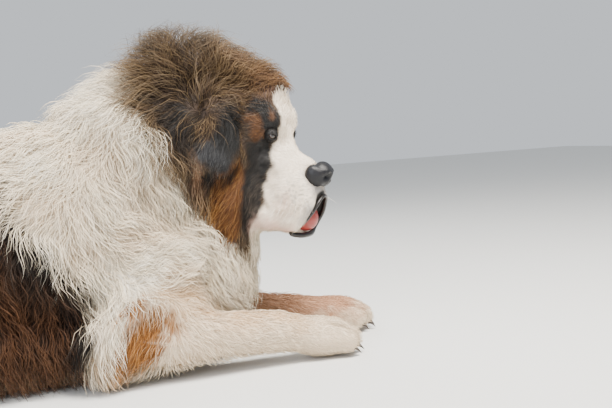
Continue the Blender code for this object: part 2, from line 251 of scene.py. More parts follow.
# The same chart for the face and the ears, in millimetres in the head's own axes: short, close hair.
FACE_CHART = (
    ((150, -18, 18), (-1, -0.2, 0.1), 7, 3.5, 0.2, 0),
    ((100, -15, 22), (-1, -0.2, 0.2), 8, 4, 0.2, 0),
    ((64, -12, 40), (-0.5, -0.1, 1), 9, 4, 0.22, 0),
    ((60, -15, 85), (-0.3, -0.1, 1), 11, 5, 0.3, 0),
    ((25, -20, 115), (-0.5, -0.2, 1), 22, 9, 0.45, 0.1),
    ((58, -50, 75), (-0.6, -0.6, 0.8), 10, 5, 0.28, 0),
    ((20, -80, 80), (-0.8, -0.3, 0.5), 16, 7, 0.3, 0.1),
    ((20, -88, 40), (-1, -0.2, -0.2), 14, 6, 0.24, 0),
    ((56, -64, 12), (-0.9, -0.3, -0.6), 8, 4, 0.2, 0),
    ((100, -45, -10), (-1, -0.3, -0.2), 8, 4, 0.2, 0),
    ((130, -55, -50), (-0.9, -0.2, -0.6), 8, 4, 0.22, 0),
    ((150, -55, -100), (-0.5, 0, -1), 8, 4, 0.24, 0),
    ((100, -72, -120), (-0.7, 0, -0.9), 9, 4, 0.24, 0),
    ((70, -85, -50), (-0.8, -0.2, -0.7), 10, 5, 0.24, 0),
    ((30, -100, -30), (-0.6, 0, -1), 20, 8, 0.26, 0.2),
    ((50, -105, -90), (-0.4, 0, -1), 24, 9, 0.28, 0.3),
    ((60, -105, -150), (-0.3, 0, -1), 30, 12, 0.34, 0.3),
    ((0, -130, -60), (-0.1, 0, -1), 34, 14, 0.3, 0.4),
    ((-20, -150, -110), (0.2, 0, -1), 55, 20, 0.32, 0.4),
    ((110, -20, -180), (-0.6, 0, -0.6), 14, 6, 0.28, 0.1),
    ((-45, -145, 50), (0.2, -0.1, -1), 34, 9, 0.3, 0.4),
    ((-40, -150, 0), (0.2, 0, -1), 18, 6, 0.24, 0.2),
    ((-30, -145, -50), (0.3, 0, -1), 12, 5, 0.22, 0.1),
    ((-90, -140, 0), (0.2, 0, -1), 50, 22, 0.3, 0.4),
)

# And for the tail, which lies round to the left.
TAIL_CHART = (
    ((-66, 2, 20), (-0.6, 0.2, -0.7), 80, 34, 0.35, 0.5),
    ((-76, 8, 10), (-0.6, 0.7, -0.3), 75, 34, 0.32, 0.5),
    ((-82, 19, 8), (0, 1, -0.3), 70, 32, 0.3, 0.5),
    ((-78, 30, 6), (0.4, 0.9, -0.2), 55, 24, 0.3, 0.5),
    ((-74, 36, 4), (0.8, 0.6, -0.1), 36, 14, 0.3, 0.4),
)


def charted():
    """Every place of the charts in the body's axes, on both sides, as arrays."""
    rows = []
    for side in (1, -1):
        flip = np.array((1, side, 1))
        for place, run, *values in CHART + CREST_CHART:
            rows.append((np.array(place) * flip / 100, np.array(run) * flip, values))
        for place, run, *values in FACE_CHART:
            place = from_head(np.array(place) * flip / 1000)
            rows.append((place, head_turn @ (np.array(run) * flip), values))
    rows += [(np.array(place) / 100, np.array(run), values) for place, run, *values in TAIL_CHART]
    places, runs, values = (np.array(column, float) for column in zip(*rows))
    values[:, :2] *= 0.001
    return places, runs / np.linalg.norm(runs, axis=1, keepdims=True), values


CHART_REACH = 0.018
chart_places, chart_runs, chart_values = charted()


def groomed(points):
    """Run, length, depth, stand and wave at each point, blended from the charts' nearest places."""
    answer = np.zeros((len(points), 7))
    known = np.hstack([chart_runs, chart_values])
    for start in range(0, len(points), 20000):
        part = points[start:start + 20000]
        apart = ((part[:, None, :] - chart_places[None, :, :]) ** 2).sum(2)
        weight = 1 / (apart + CHART_REACH ** 2) ** 3
        weight /= weight.sum(1, keepdims=True)
        answer[start:start + 20000] = weight @ known
    return answer[:, :3], answer[:, 3], answer[:, 4], answer[:, 5], answer[:, 6]


# The skin
# One hide over the whole body, from the lips to the tail. It is the outline of the solids drawn in by
# the depth of the coat, then worked into lids, brows, lips and folds on the head.
FLESH = [n for n in nodes if not n.startswith(("eye", "nose", "tongue"))]
BRIDGE = 0.0012
SKIN_VOXEL = 0.0065
FORE_TOES = ((0.066, -0.038), (0.082, -0.014), (0.082, 0.013), (0.066, 0.037))
HIND_TOES = ((0.060, -0.034), (0.074, -0.012), (0.074, 0.012), (0.060, 0.033))
PAWS = (
    # name, middle (x, y), the way it points in degrees, how far ahead and aside each claw's tip lies
    ("forepaw_right", (0.500, -0.158), 4, FORE_TOES),
    ("forepaw_left", (0.595, 0.058), -14, FORE_TOES),
    ("hindpaw_right", (-0.265, -0.250), 0, HIND_TOES),
    ("hindpaw_left", (-0.265, 0.250), 0, HIND_TOES),
)
FLEWS = (
    # place and half size of the lumps that fill the flews and the chin, in the head's axes
    ((0.140, 0.050, -0.100), (0.044, 0.018, 0.044)),
    ((0.152, 0.036, -0.066), (0.034, 0.022, 0.034)),
    ((0.143, 0.008, -0.136), (0.040, 0.034, 0.014)),
)
SKIN_TRIANGLES = 120000
DRAW_STEPS = 10
CREST_ROUNDS = 70
CREST_DEPTH = 0.034
CREST_FROM = 0.030
CREST_FADE = 0.015
EAR_DEPTH = 0.003
SKIN_FLOOR = 0.004
FINE_PAW = 0.115


def evaluated(thing):
    graph = bpy.context.evaluated_depsgraph_get()
    return bpy.data.meshes.new_from_object(thing.evaluated_get(graph))


def swollen(names, amount):
    """The named solids as one mesh, each a little larger, so that they run into each other."""
    whole = bmesh.new()
    for name in names:
        part = bmesh.new()
        part.from_mesh(nodes[name].data)
        bmesh.ops.remove_doubles(part, verts=part.verts, dist=0.00005)
        part.normal_update()
        moves = [spot.normal * amount for spot in part.verts]
        for spot, move in zip(part.verts, moves):
            spot.co += move
        mesh = bpy.data.meshes.new("part")
        part.to_mesh(mesh)
        part.free()
        whole.from_mesh(mesh)
        bpy.data.meshes.remove(mesh)
    for place, size in FLEWS:
        for side in (1, -1):
            turned = head_axes @ Matrix.Translation((place[0], place[1] * side, place[2]))
            shape = turned @ Matrix.Diagonal((*size, 1))
            bmesh.ops.create_icosphere(whole, subdivisions=3, radius=1, matrix=shape)
    mesh = bpy.data.meshes.new("whole")
    whole.to_mesh(mesh)
    whole.free()
    return mesh


def put(name, mesh):
    """A new object that shows a mesh."""
    thing = bpy.data.objects.new(name, mesh)
    scene.collection.objects.link(thing)
    return thing


def modified(thing, kind, **settings):
    """Takes one modifier into the object's own mesh."""
    change = thing.modifiers.new(kind, kind)
    for key, value in settings.items():
        setattr(change, key, value)
    mesh = evaluated(thing)
    thing.modifiers.clear()
    thing.data = mesh


def spots(mesh):
    """A mesh's points and their normals, as arrays."""
    place = np.empty(len(mesh.vertices) * 3, np.float32)
    mesh.vertices.foreach_get("co", place)
    facing = np.empty(len(mesh.vertices) * 3, np.float32)
    mesh.vertex_normals.foreach_get("vector", facing)
    return place.reshape(-1, 3).astype(float), facing.reshape(-1, 3).astype(float)


def set_spots(mesh, place):
    mesh.vertices.foreach_set("co", place.astype(np.float32).ravel())
    mesh.update()


def smoothed(mesh):
    mesh.polygons.foreach_set("use_smooth", np.ones(len(mesh.polygons), bool))


def faced_out(mesh):
    """Turns every face of a mesh outwards."""
    work = bmesh.new()
    work.from_mesh(mesh)
    bmesh.ops.recalc_face_normals(work, faces=work.faces)
    work.to_mesh(mesh)
    work.free()


def eased(mesh, place, rounds, share=0.5):
    """Moves each point towards the middle of its neighbours."""
    ends = np.empty(len(mesh.edges) * 2, np.int32)
    mesh.edges.foreach_get("vertices", ends)
    one, two = ends.reshape(-1, 2).T
    count = np.bincount(one, minlength=len(place)) + np.bincount(two, minlength=len(place))
    for _ in range(rounds):
        middle = np.stack([
            (np.bincount(one, place[two, k], len(place)) + np.bincount(two, place[one, k], len(place)))
            for k in range(3)], 1) / count[:, None]
        place = place + (middle - place) * share
    return place


def eased_values(mesh, values, rounds):
    """Blurs one value per point over the mesh."""
    return eased(mesh, np.repeat(values[:, None], 3, 1), rounds)[:, 0]


skin = put("skin", swollen(FLESH, BRIDGE))
modified(skin, "REMESH", mode="VOXEL", voxel_size=SKIN_VOXEL)
place, facing = spots(skin.data)
place = eased(skin.data, place, 3)
depth = groomed(place)[2]
crest_share = np.clip((depth - CREST_FROM) / CREST_FADE, 0, 1)[:, None]
for _ in range(CREST_ROUNDS):
    place = place + (eased(skin.data, place, 1, 0.9) - place) * crest_share
depth = np.minimum(depth, CREST_DEPTH)
for side in ("left", "right"):
    flap = nodes["ear_" + side].data
    flap = BVHTree.FromPolygons([v.co for v in flap.vertices], [p.vertices for p in flap.polygons])
    apart = np.array([flap.find_nearest(p)[3] for p in place.tolist()])
    depth = np.minimum(depth, EAR_DEPTH + np.maximum(apart - 0.003, 0) * 1.5)
for _ in range(DRAW_STEPS):
    set_spots(skin.data, place)
    facing = spots(skin.data)[1]
    place = place - facing * (depth / DRAW_STEPS)[:, None]
    place = eased(skin.data, place, 1, 0.4)
place[:, 2] = np.maximum(place[:, 2], SKIN_FLOOR)
set_spots(skin.data, place)


def refined(thing, chosen):
    """Splits the chosen faces of an object in four."""
    work = bmesh.new()
    work.from_mesh(thing.data)
    work.faces.ensure_lookup_table()
    edges = {edge for index in np.flatnonzero(chosen) for edge in work.faces[index].edges}
    bmesh.ops.subdivide_edges(work, edges=list(edges), cuts=1, use_grid_fill=True, smooth=0.6)
    work.to_mesh(thing.data)
    work.free()


def face_middles(mesh):
    middle = np.empty(len(mesh.polygons) * 3, np.float32)
    mesh.polygons.foreach_get("center", middle)
    return middle.reshape(-1, 3).astype(float)


def thinned(thing, triangles, keep):
    """Decimates an object, but not where the keep values are high."""
    thing.data.calc_loop_triangles()
    group = thing.vertex_groups.new(name="loose")
    for level in range(1, 11):
        group.add(np.flatnonzero(np.round((1 - keep) * 10) == level).tolist(), level / 10, "REPLACE")
    change = thing.modifiers.new("thin", "DECIMATE")
    change.ratio = triangles / len(thing.data.loop_triangles)
    change.vertex_group = "loose"
    change.vertex_group_factor = 1.0
    mesh = evaluated(thing)
    thing.modifiers.clear()
    thing.vertex_groups.clear()
    thing.data = mesh


EYE = np.array((0.044, 0.052, 0.036))


def near_head(middle, low, high):
    """Which points lie between two corners in the head's axes, on either side of it."""
    local = to_head(middle)
    local[:, 1] = np.abs(local[:, 1])
    return ((local > low) & (local < high)).all(1)


refined(skin, near_head(face_middles(skin.data), (-0.06, -1, -0.20), (0.30, 0.17, 0.13)))
refined(skin, near_head(face_middles(skin.data), EYE - 0.024, EYE + 0.024))
place, facing = spots(skin.data)
keep = near_head(place, (0.0, -1, -0.20), (0.30, 0.12, 0.08)).astype(float)
for name, middle, turn, tips in PAWS:
    keep[np.linalg.norm(place[:, :2] - middle, axis=1) < FINE_PAW] = 1
thinned(skin, SKIN_TRIANGLES, eased_values(skin.data, keep, 4))


# The folds of the face
# A sculptor's strokes in the loose skin of the head, on both sides: the furrowed brow, the crease of the
# stop, the heavy flews that hang open at the front, the lids, and the grooves between the toes.
STROKES = (
    # place (x, y, z), radius and move (x, y, z), in millimetres, in the head's axes
    ((30, -40, 72), 18, (5, -1, 6)),
    ((12, -58, 66), 14, (0, -4, 5)),
    ((46, -12, 62), 11, (-5, 0, -2)),
    ((50, -30, 58), 9, (5, -2, 3)),
    ((40, -24, 82), 8, (-3, 0, -3)),
    ((66, -18, 30), 13, (-5, 3, -3)),
    ((62, -56, 12), 9, (1, -5, -3)),
    ((44, -72, -4), 10, (0, 5, 0)),
    ((58, -66, -14), 9, (0, -4, 0)),
    ((78, -62, -36), 11, (0, 5, 0)),
    ((104, -66, -60), 20, (0, -5, 0)),
    ((92, -70, -104), 8, (0, 5, 2)),
    ((122, -62, -84), 7, (0, 3, 0)),
    ((172, -40, -72), 20, (3, -3, 0)),
    ((134, -60, -112), 22, (0, -4, -3)),
    ((108, -66, -132), 18, (0, -5, -7)),
    ((150, -30, -26), 14, (0, 3, -2)),
    ((168, 0, -36), 8, (-3, 0, 0)),
    ((-28, -132, -24), 48, (22, -12, 0)),
    ((0, -128, -34), 24, (4, -8, 0)),
)
LIP_EDGE = ((0.090, 0.075, 0.150, 0.006), (0.130, 0.070, 0.150, 0.004), (0.165, 0.055, 0.120, 0.002))
MOUTH_PLACE = np.array((0.200, 0, -0.084))
MOUTH_SIZE = np.array((0.060, 0.038, 0.041))
LID_SIZE = 0.0125
LID_REACH = 0.0190
LID_FADE = 0.0080
SLIT_WIDTH = 0.0088
SLIT_ABOVE = 0.0040
SLIT_BELOW = 0.0048
TOE_GROOVE = 0.010
GROOVE_WIDTH = 0.0055
TOE_GAPS = (-0.026, 0.0, 0.025)
PAW_REACH = 0.13
PAW_WIDTH = 0.07
PAW_HEIGHT = 0.10
GAZE = np.array((0.64, -0.76, 0.08)) / np.linalg.norm((0.64, -0.76, 0.08))
GAZE_ALONG = np.cross((0, 0, 1), GAZE) / np.linalg.norm(np.cross((0, 0, 1), GAZE))
GAZE_UP = np.cross(GAZE, GAZE_ALONG)


def pushed(local, pushes, falloff):
    """Pushes points in the head's axes about each chosen place and its mirrored one."""
    for middle, radius, move in pushes:
        for side in (1, -1):
            flip = np.array((1, side, 1))
            gap = np.linalg.norm(local - np.array(middle) * flip / 1000, axis=1) / (radius / 1000)
            local = local + falloff(gap)[:, None] * np.array(move) * flip / 1000
    return local


def stepped(share):
    """A smooth step between 0 and 1."""
    share = np.clip(share, 0, 1)
    return share * share * (3 - 2 * share)


def mouth_gap(local):
    """1 on the rim of the open mouth, less within it."""
    return np.linalg.norm((local - MOUTH_PLACE) / MOUTH_SIZE, axis=1)


def opened(local):
    """Opens the mouth between the flews."""
    within = (mouth_gap(local) < 1) & (local[:, 0] > 0.12)
    flat = ((local - MOUTH_PLACE) / MOUTH_SIZE)[:, 1:]
    back = MOUTH_PLACE[0] - MOUTH_SIZE[0] * np.sqrt(np.clip(1 - (flat ** 2).sum(1), 0, 1))
    result = local.copy()
    result[within, 0] = back[within]
    return result


def lidded(local):
    """Wraps the skin round the eyeballs, with an almond slit between the lids."""
    result = local.copy()
    slits = np.full(len(local), 9.0)
    for side in (1, -1):
        flip = np.array((1, side, 1))
        apart = local - EYE * (1, -1, 1) * flip
        gaze = GAZE * flip
        out = apart @ gaze
        along = apart @ (GAZE_ALONG * flip)
        high = apart @ (GAZE_UP * flip)
        wide = np.hypot(along, high)
        slit = np.hypot(along / SLIT_WIDTH, (high + 0.0006) / np.where(high > 0, SLIT_ABOVE, SLIT_BELOW))
        inside = slit < 1
        shell = LID_SIZE + np.where(inside, -0.0030, 0.0022)
        wanted = np.sqrt(np.maximum(shell ** 2 - wide ** 2, 0.0))
        share = stepped((LID_REACH - wide) / LID_FADE)
        share *= (np.abs(out) < 0.030) & (np.linalg.norm(apart, axis=1) < 0.034)
        result += gaze * ((wanted - out) * share)[:, None]
        slits = np.where(share > 0, np.minimum(slits, slit), slits)
    return result, slits


def grooves(place):
    """How far each point lies in the grooves between the toes, from 0 to 1."""
    deep = np.zeros(len(place))
    for name, middle, turn, tips in PAWS:
        angle = math.radians(turn)
        apart = place[:, :2] - middle
        reach = apart @ (math.cos(angle), math.sin(angle))
        across = apart @ (-math.sin(angle), math.cos(angle))
        groove = sum(np.exp(-((across - offset) / GROOVE_WIDTH) ** 2) for offset in TOE_GAPS)
        share = np.clip((reach - 0.004) / 0.030, 0, 1) * (reach < PAW_REACH)
        share *= np.abs(across) < PAW_WIDTH
        deep = np.maximum(deep, groove * share * (place[:, 2] < PAW_HEIGHT))
    return deep


place, facing = spots(skin.data)
place = place - facing * (grooves(place) * TOE_GROOVE)[:, None]
local = pushed(to_head(place), STROKES, lambda gap: stepped(1 - gap * 0.6))
local = opened(local)
local, slits = lidded(local)
set_spots(skin.data, from_head(local))


# The markings
# The breed's white ground with mahogany patches edged in black. A patch is a chain of round spots, each
# a place and a radius; the saddle and the hood are outlines seen from the side. Later ones lie on top.
# A colour is that of the hair's root, of its tip and of the strays among the tips; the darker roots are partly
# the hair's own colour, partly painted shade deep in the coat.
RUST = ("#110906", "#36200F", "#5C3C24")
GOLD = ("#5A3616", "#A0672C", "#C08A4A")
CHEEK = ("#26150A", "#784A22", "#A67840")
CREST_BROWN = ("#140E0A", "#513C2B", "#947A56")
BLACK = ("#090706", "#100D0B", "#342B24")
EAR = ("#070606", "#100F0E", "#2C2A28")
EAR_TIP = ("#121213", "#2C2C2E", "#5C5C5E")
MASK_GREY = ("#16120F", "#3E352E", "#6C5F52")
CREST_DARK = ("#14100D", "#42362C", "#7C6E5C")
# partly the coat's own beige tone, partly painted shade on the lower muzzle
JOWL_TONE_AND_SHADE = ("#A89480", "#D6C4AE", "#C2B09A")
TOE_SHADE = ("#6E5A44", "#9C8468", "#BCA588")
CREST_WARM = ("#170E09", "#583822", "#8E6844")
GREY_TIPS = ("#15110E", "#6A625A", "#A8A198")
EYE_PATCH = ("#1A100A", "#66401F", "#8C6034")
WHITE = ("#C4B498", "#FAF6EA", "#E8DBC0")
FACE_WHITE = ("#D2C0AA", "#F5EAD9", "#E2D2BC")
FACE_PINK = ("#C69C8A", "#E6C9BA", "#D9B5A2")
FACE_GREY = ("#6E6A68", "#9C9794", "#7E7976")
TAN = ("#8A6244", "#BD9070", "#D4B296")
CREAM = ("#B79872", "#DDBE98", "#EADCC6")
PATCHES = (
    # colour, soft edge, ragged edge, axes, sides, chain of spots (x, y, z, radius), in millimetres
    (RUST, 8, 20, "body", 2, ((150, -70, 585, 16), (160, -115, 540, 13))),
    (GOLD, 6, 20, "body", 2, ((125, -240, 160, 22), (178, -235, 130, 36), (135, -245, 80, 40),
        (90, -235, 30, 34))),
    (TAN, 20, 20, "body", 1, ((280, 150, 100, 60), (470, 90, 85, 60), (600, 50, 60, 50))),
    (CREAM, 30, 30, "body", 2, ((200, -200, 170, 30), (330, -190, 140, 45), (440, -180, 110, 30))),
    (CREAM, 20, 30, "body", 2, ((20, -260, 20, 45), (100, -250, 0, 40))),
    (CREST_WARM, 30, 20, "head", 2, ((-110, -80, 150, 30), (-30, -85, 140, 55), (0, -40, 140, 45))),
    (CHEEK, 6, 10, "head", 2, ((-10, -125, -30, 20), (20, -120, -60, 36), (30, -125, -110, 38),
        (50, -120, -160, 30))),
    (TAN, 5, 8, "head", 2, ((-54, -150, -46, 14), (-34, -145, -80, 13), (-14, -140, -106, 10))),
    (BLACK, 5, 8, "head", 2, ((-34, -144, -58, 12), (-18, -140, -90, 13), (2, -136, -116, 10))),
    (BLACK, 5, 10, "head", 2, ((-15, -80, 88, 14), (22, -66, 78, 26), (46, -64, 36, 28), (46, -76, 0, 28),
        (60, -85, -50, 28), (75, -90, -115, 26), (80, -88, -148, 16))),
    (MASK_GREY, 10, 20, "head", 2, ((66, -88, -40, 10), (75, -92, -110, 14))),
    (EYE_PATCH, 5, 8, "head", 2, ((-4, -92, 50, 8), (14, -84, 62, 12), (24, -80, 28, 12))),
    (EYE_PATCH, 4, 6, "head", 2, ((30, -60, 88, 6), (36, -60, 76, 6))),
    # painted shade: black in the gap behind each ear, between the hood and the neck
    (BLACK, 10, 14, "head", 2, ((-138, -138, 66, 28), (-112, -150, 22, 36), (-86, -152, -12, 32))),
    (GREY_TIPS, 10, 14, "head", 2, ((-152, -120, 98, 18), (-128, -130, 92, 16))),
    # painted shadow: a black line on the cheek under each ear flap's lower edge, the shade the flap casts
    (BLACK, 4, 5, "head", 2, ((-52, -150, -52, 10), (-20, -140, -78, 9), (18, -120, -62, 8),
        (30, -112, -30, 7))),
    (EAR, 5, 6, "head", 2, ((-22, -125, 72, 24), (-10, -140, 32, 30), (-8, -146, -6, 32))),
    (EAR_TIP, 6, 8, "head", 2, ((-36, -155, -30, 22), (-4, -142, -40, 24))),
    (FACE_WHITE, 3, 4, "head", 2, ((40, 0, 88, 46), (62, 0, 55, 43), (68, 0, 22, 34), (85, 0, -4, 60),
        (100, 0, -45, 68), (108, 0, -95, 72), (108, 0, -145, 80))),
    (FACE_WHITE, 3, 4, "head", 2, ((150, 0, -20, 60), (160, 0, -110, 80))),
    (FACE_PINK, 14, 10, "head", 2, ((96, -78, -146, 16), (146, -62, -138, 14))),
    (FACE_PINK, 16, 12, "head", 2, ((120, -70, -60, 6), (126, -70, -90, 8))),
    (FACE_GREY, 12, 6, "head", 2, ((140, -30, -16, 8), (164, -24, -36, 12), (182, 0, -44, 10))),
    (FACE_GREY, 10, 6, "head", 2, ((180, -26, -52, 9), (176, -42, -74, 10), (170, -50, -96, 8))),
    (WHITE, 10, 12, "head", 2, ((100, 0, -165, 55), (20, 0, -190, 80), (-60, 0, -240, 95))),
    # beige-grey low on each flew: partly the coat's own tone, partly painted shade on the lower muzzle
    (JOWL_TONE_AND_SHADE, 11, 6, "head", 2, ((124, -70, -102, 10), (152, -56, -86, 9))),
)
FRECKLE_PLACE = (0.145, -0.055, -0.055)
FRECKLE_REACH = 0.040
OUTLINE_EDGE = 0.010
SADDLE = ((-0.16, 0.62), (-0.13, 0.47), (-0.086, 0.393), (-0.059, 0.325), (-0.031, 0.297), (0.014, 0.236),
          (0.050, 0.216), (0.040, 0.144), (0.058, 0.122), (0.055, 0.094), (0.018, 0.037), (-0.10, 0.030),
          (-0.26, 0.075), (-0.36, 0.120), (-0.46, 0.110), (-0.58, 0.100), (-0.70, 0.035), (-0.90, 0.035),
          (-0.95, 0.62))
HOOD = ((0.110, 0.76), (0.150, 0.62), (0.178, 0.579), (0.186, 0.490), (0.201, 0.446), (0.223, 0.419),
        (0.238, 0.385), (0.258, 0.337), (0.283, 0.309), (0.322, 0.269), (0.345, 0.235), (0.358, 0.216),
        (0.385, 0.245), (0.47, 0.30), (0.60, 0.42), (0.60, 0.76))


def outline_gap(flat, outline):
    """How far each flat point lies outside a closed outline, negative within it."""
    gap = np.full(len(flat), 9.0)
    within = np.zeros(len(flat), bool)
    corners = np.array(outline)
    for one, two in zip(corners, np.roll(corners, -1, 0)):
        along = two - one
        share = np.clip((flat - one) @ along / (along @ along), 0, 1)
        gap = np.minimum(gap, np.linalg.norm(flat - one - share[:, None] * along, axis=1))
        crossed = (one[1] > flat[:, 1]) != (two[1] > flat[:, 1])
        rise = along[1] if along[1] else 1e-9
        within ^= crossed & (flat[:, 0] < one[0] + along[0] * (flat[:, 1] - one[1]) / rise)
    return np.where(within, -gap, gap)


def chain_gap(points, chain):
    """How far each point lies outside a chain of round spots, negative within it."""
    gap = np.full(len(points), 9.0)
    chain = np.array(chain, float)
    for one, two in zip(chain[:-1], chain[1:]):
        along = two[:3] - one[:3]
        share = np.clip((points - one[:3]) @ along / (along @ along), 0, 1)
        apart = np.linalg.norm(points - one[:3] - share[:, None] * along, axis=1)
        gap = np.minimum(gap, apart - one[3] - share * (two[3] - one[3]))
    return gap


def noisy(points, scale, seed):
    """Smooth noise between about -1 and 1 at each point."""
    shift = Vector((seed * 7.3, seed * 3.1, seed * 5.7))
    return np.array([noise.noise(Vector(p) * scale + shift) for p in points.tolist()]) * 1.6


def painted_over(colours, patch, weight):
    for channel, code in enumerate(patch):
        colours[channel] += (np.array(srgb(code)) - colours[channel]) * weight[:, None]


def marked(points):
    """The hair's colour at its root, at its tip and in its strays, for each point of the skin."""
    colours = [np.tile(srgb(code), (len(points), 1)) for code in WHITE]
    rough = noisy(points, 45, 1) * 0.6 + noisy(points, 110, 2) * 0.4
    broad = noisy(points, 9, 3)
    flat = points[:, (0, 2)]
    gap = outline_gap(flat, SADDLE) + rough * 0.012
    weight = np.clip(0.5 - gap / OUTLINE_EDGE, 0, 1)
    painted_over(colours, BLACK, weight)
    painted_over(colours, RUST, weight * np.clip((-gap - 0.015 + broad * 0.03) / 0.05, 0, 1))
    painted_over(colours, TAN, weight * np.clip((0.075 - points[:, 2] + rough * 0.02) / 0.05, 0, 0.8))
    yellow = np.clip(0.16 + 0.34 * noisy(points, 13, 4), 0, 0.5)
    low = np.clip((0.20 - points[:, 2]) / 0.08, 0, 1) * np.clip((points[:, 0] - 0.10) / 0.10, 0, 1)
    painted_over(colours, CREAM, np.maximum(yellow, low * 0.55) * (1 - weight))
    painted_over(colours, TOE_SHADE, np.clip(grooves(points) * 0.9, 0, 0.9))
    gap = outline_gap(flat, HOOD) + rough * 0.010
    weight = np.clip(0.5 - gap / OUTLINE_EDGE, 0, 1)
    painted_over(colours, CREST_BROWN, weight)
    painted_over(colours, CREST_DARK, weight * np.clip((points[:, 2] - 0.60 + broad * 0.03) / 0.05, 0, 0.85))
    painted_over(colours, CREST_DARK, weight * np.clip(noisy(points, 34, 6) * 1.6, 0, 0.7))
    local = to_head(points)
    for patch, soft, ragged, axes, sides, chain in PATCHES:
        seen = (local if axes == "head" else points).copy()
        if sides == 2:
            seen[:, 1] = -np.abs(seen[:, 1])
        gap = chain_gap(seen, np.array(chain) / 1000) * 1000 + rough * ragged
        painted_over(colours, patch, np.clip(0.5 - gap / (soft * 2), 0, 1))
    seen = np.column_stack([local[:, 0], -np.abs(local[:, 1]), local[:, 2]])
    share = np.clip(1.4 - np.linalg.norm(seen - FRECKLE_PLACE, axis=1) / FRECKLE_REACH, 0, 1)
    painted_over(colours, MASK_GREY, share * np.clip((noisy(points, 190, 7) - 0.30) * 4, 0, 0.40))
    return colours


def keep_colour(mesh, name, values):
    """Stores a colour for each point of a mesh."""
    layer = mesh.color_attributes.new(name, "FLOAT_COLOR", "POINT")
    full = np.ones((len(values), 4), np.float32)
    full[:, :3] = values
    layer.data.foreach_set("color", full.ravel())


place, facing = spots(skin.data)
root_colour_and_shade, tip_colour, stray_colour = marked(place)
run, hair_length, _, stand, wave = groomed(place)
run -= facing * (run * facing).sum(1)[:, None]
run /= np.maximum(np.linalg.norm(run, axis=1, keepdims=True), 1e-6)
# The underfur's colour is a blend of root and tip, so it carries part of the roots' painted shade.
hide_colour = root_colour_and_shade * 0.45 + tip_colour * 0.55
local = to_head(place)
lip = mouth_gap(local)
front = (local[:, 0] > 0.10).astype(float)
for code, weight in (
        ("#E8CFC4", np.clip((0.026 - chain_gap(np.abs(local) * (1, 1, -1), LIP_EDGE)) / 0.02, 0, 0.7)),
        ("#8C8784", np.clip(1 - np.linalg.norm(local - (0.168, 0, -0.022), axis=1) / 0.034, 0, 0.8)),
        ("#17120F", np.clip((1.28 - lip) / 0.10, 0, 1) * front),
        ("#8E2F2C", np.clip((0.93 - lip) / 0.10, 0, 1) * front),
        ("#0F0C0B", np.clip((1.18 - slits) / 0.12, 0, 1))):
    hide_colour += (np.array(srgb(code)) - hide_colour) * weight[:, None]
bald = np.clip(np.maximum((1.32 - lip) * front, 1.06 - slits) / 0.05, 0, 1)
hair_length *= 1 - bald * 0.8
for name, values in (("coat_root_and_shade", root_colour_and_shade), ("coat_tip", tip_colour), ("coat_stray", stray_colour)):
    keep_colour(skin.data, name, values)
for name, values in (("coat_length", hair_length), ("coat_stand", stand), ("coat_wave", wave),
                     ("coat_share", 1 - bald)):
    layer = skin.data.attributes.new(name, "FLOAT", "POINT")
    layer.data.foreach_set("value", values.astype(np.float32))
layer = skin.data.attributes.new("coat_run", "FLOAT_VECTOR", "POINT")
layer.data.foreach_set("vector", run.astype(np.float32).ravel())
keep_colour(skin.data, "skin_colour", hide_colour)
smoothed(skin.data)

# The short underfur: it shows the hair's colour, matt, with a grain like combed hair. A real hair is too
# fine to show, so the grain is drawn 2.4 mm wide.
combed = ("Noise", "Fac", 2.38, {"Detail": 3.0}, 0.6, 2)
skin.data.materials.append(new_material("short dog hair", "skin_colour", combed, Roughness=0.75))
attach(skin, "root")
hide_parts(*FLESH)


# The eyes
# Dark brown eyeballs 24 mm across, set under the lids, with a clear wet film over white, iris and pupil.
# The colours run from the white inwards, by the angle from the gaze.
EYE_SIZE = 0.0122
eye_look = new_material("wet eye", "eye_colour", Roughness=0.22, IOR=1.38, Coat_Weight=1.0,
                        Coat_Roughness=0.03)
for side, word in ((-1, "right"), (1, "left")):
    ball = bmesh.new()
    bmesh.ops.create_uvsphere(ball, u_segments=48, v_segments=40, radius=EYE_SIZE)
    mesh = bpy.data.meshes.new("eyeball_" + word)
    ball.to_mesh(mesh)
    ball.free()
    place, facing = spots(mesh)
    gaze = GAZE * (1, -side, 1)
    angle = np.degrees(np.arccos(np.clip(facing @ gaze, -1, 1)))
    place *= (1 + 0.09 * np.clip((34 - angle) / 20, 0, 1))[:, None]
    # The white is dark brown and the iris darker than their own colours: partly the eye's dark brown, partly
    # painted shade from the deep-set lids and the hair over them.
    colour = np.tile(srgb("#332A22"), (len(place), 1))
    streaks = noisy(facing * 0.02, 900, 5)
    for code, weight in (("#100B08", (36 - angle) / 3), ("#2C1A0E", (33 - angle) / 4),
                         ("#3E2816", (27 - angle) / 9 * (0.7 + 0.3 * streaks)),
                         ("#050404", (15 - angle) / 2)):
        colour += (np.array(srgb(code)) - colour) * np.clip(weight, 0, 1)[:, None]
    keep_colour(mesh, "eye_colour", colour)
    set_spots(mesh, from_head(place + EYE * (1, side, 1)))
    smoothed(mesh)
    mesh.materials.append(eye_look)
    eyeball = put("eyeball_" + word, mesh)
    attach(eyeball, "root")
    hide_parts("eye_" + word)


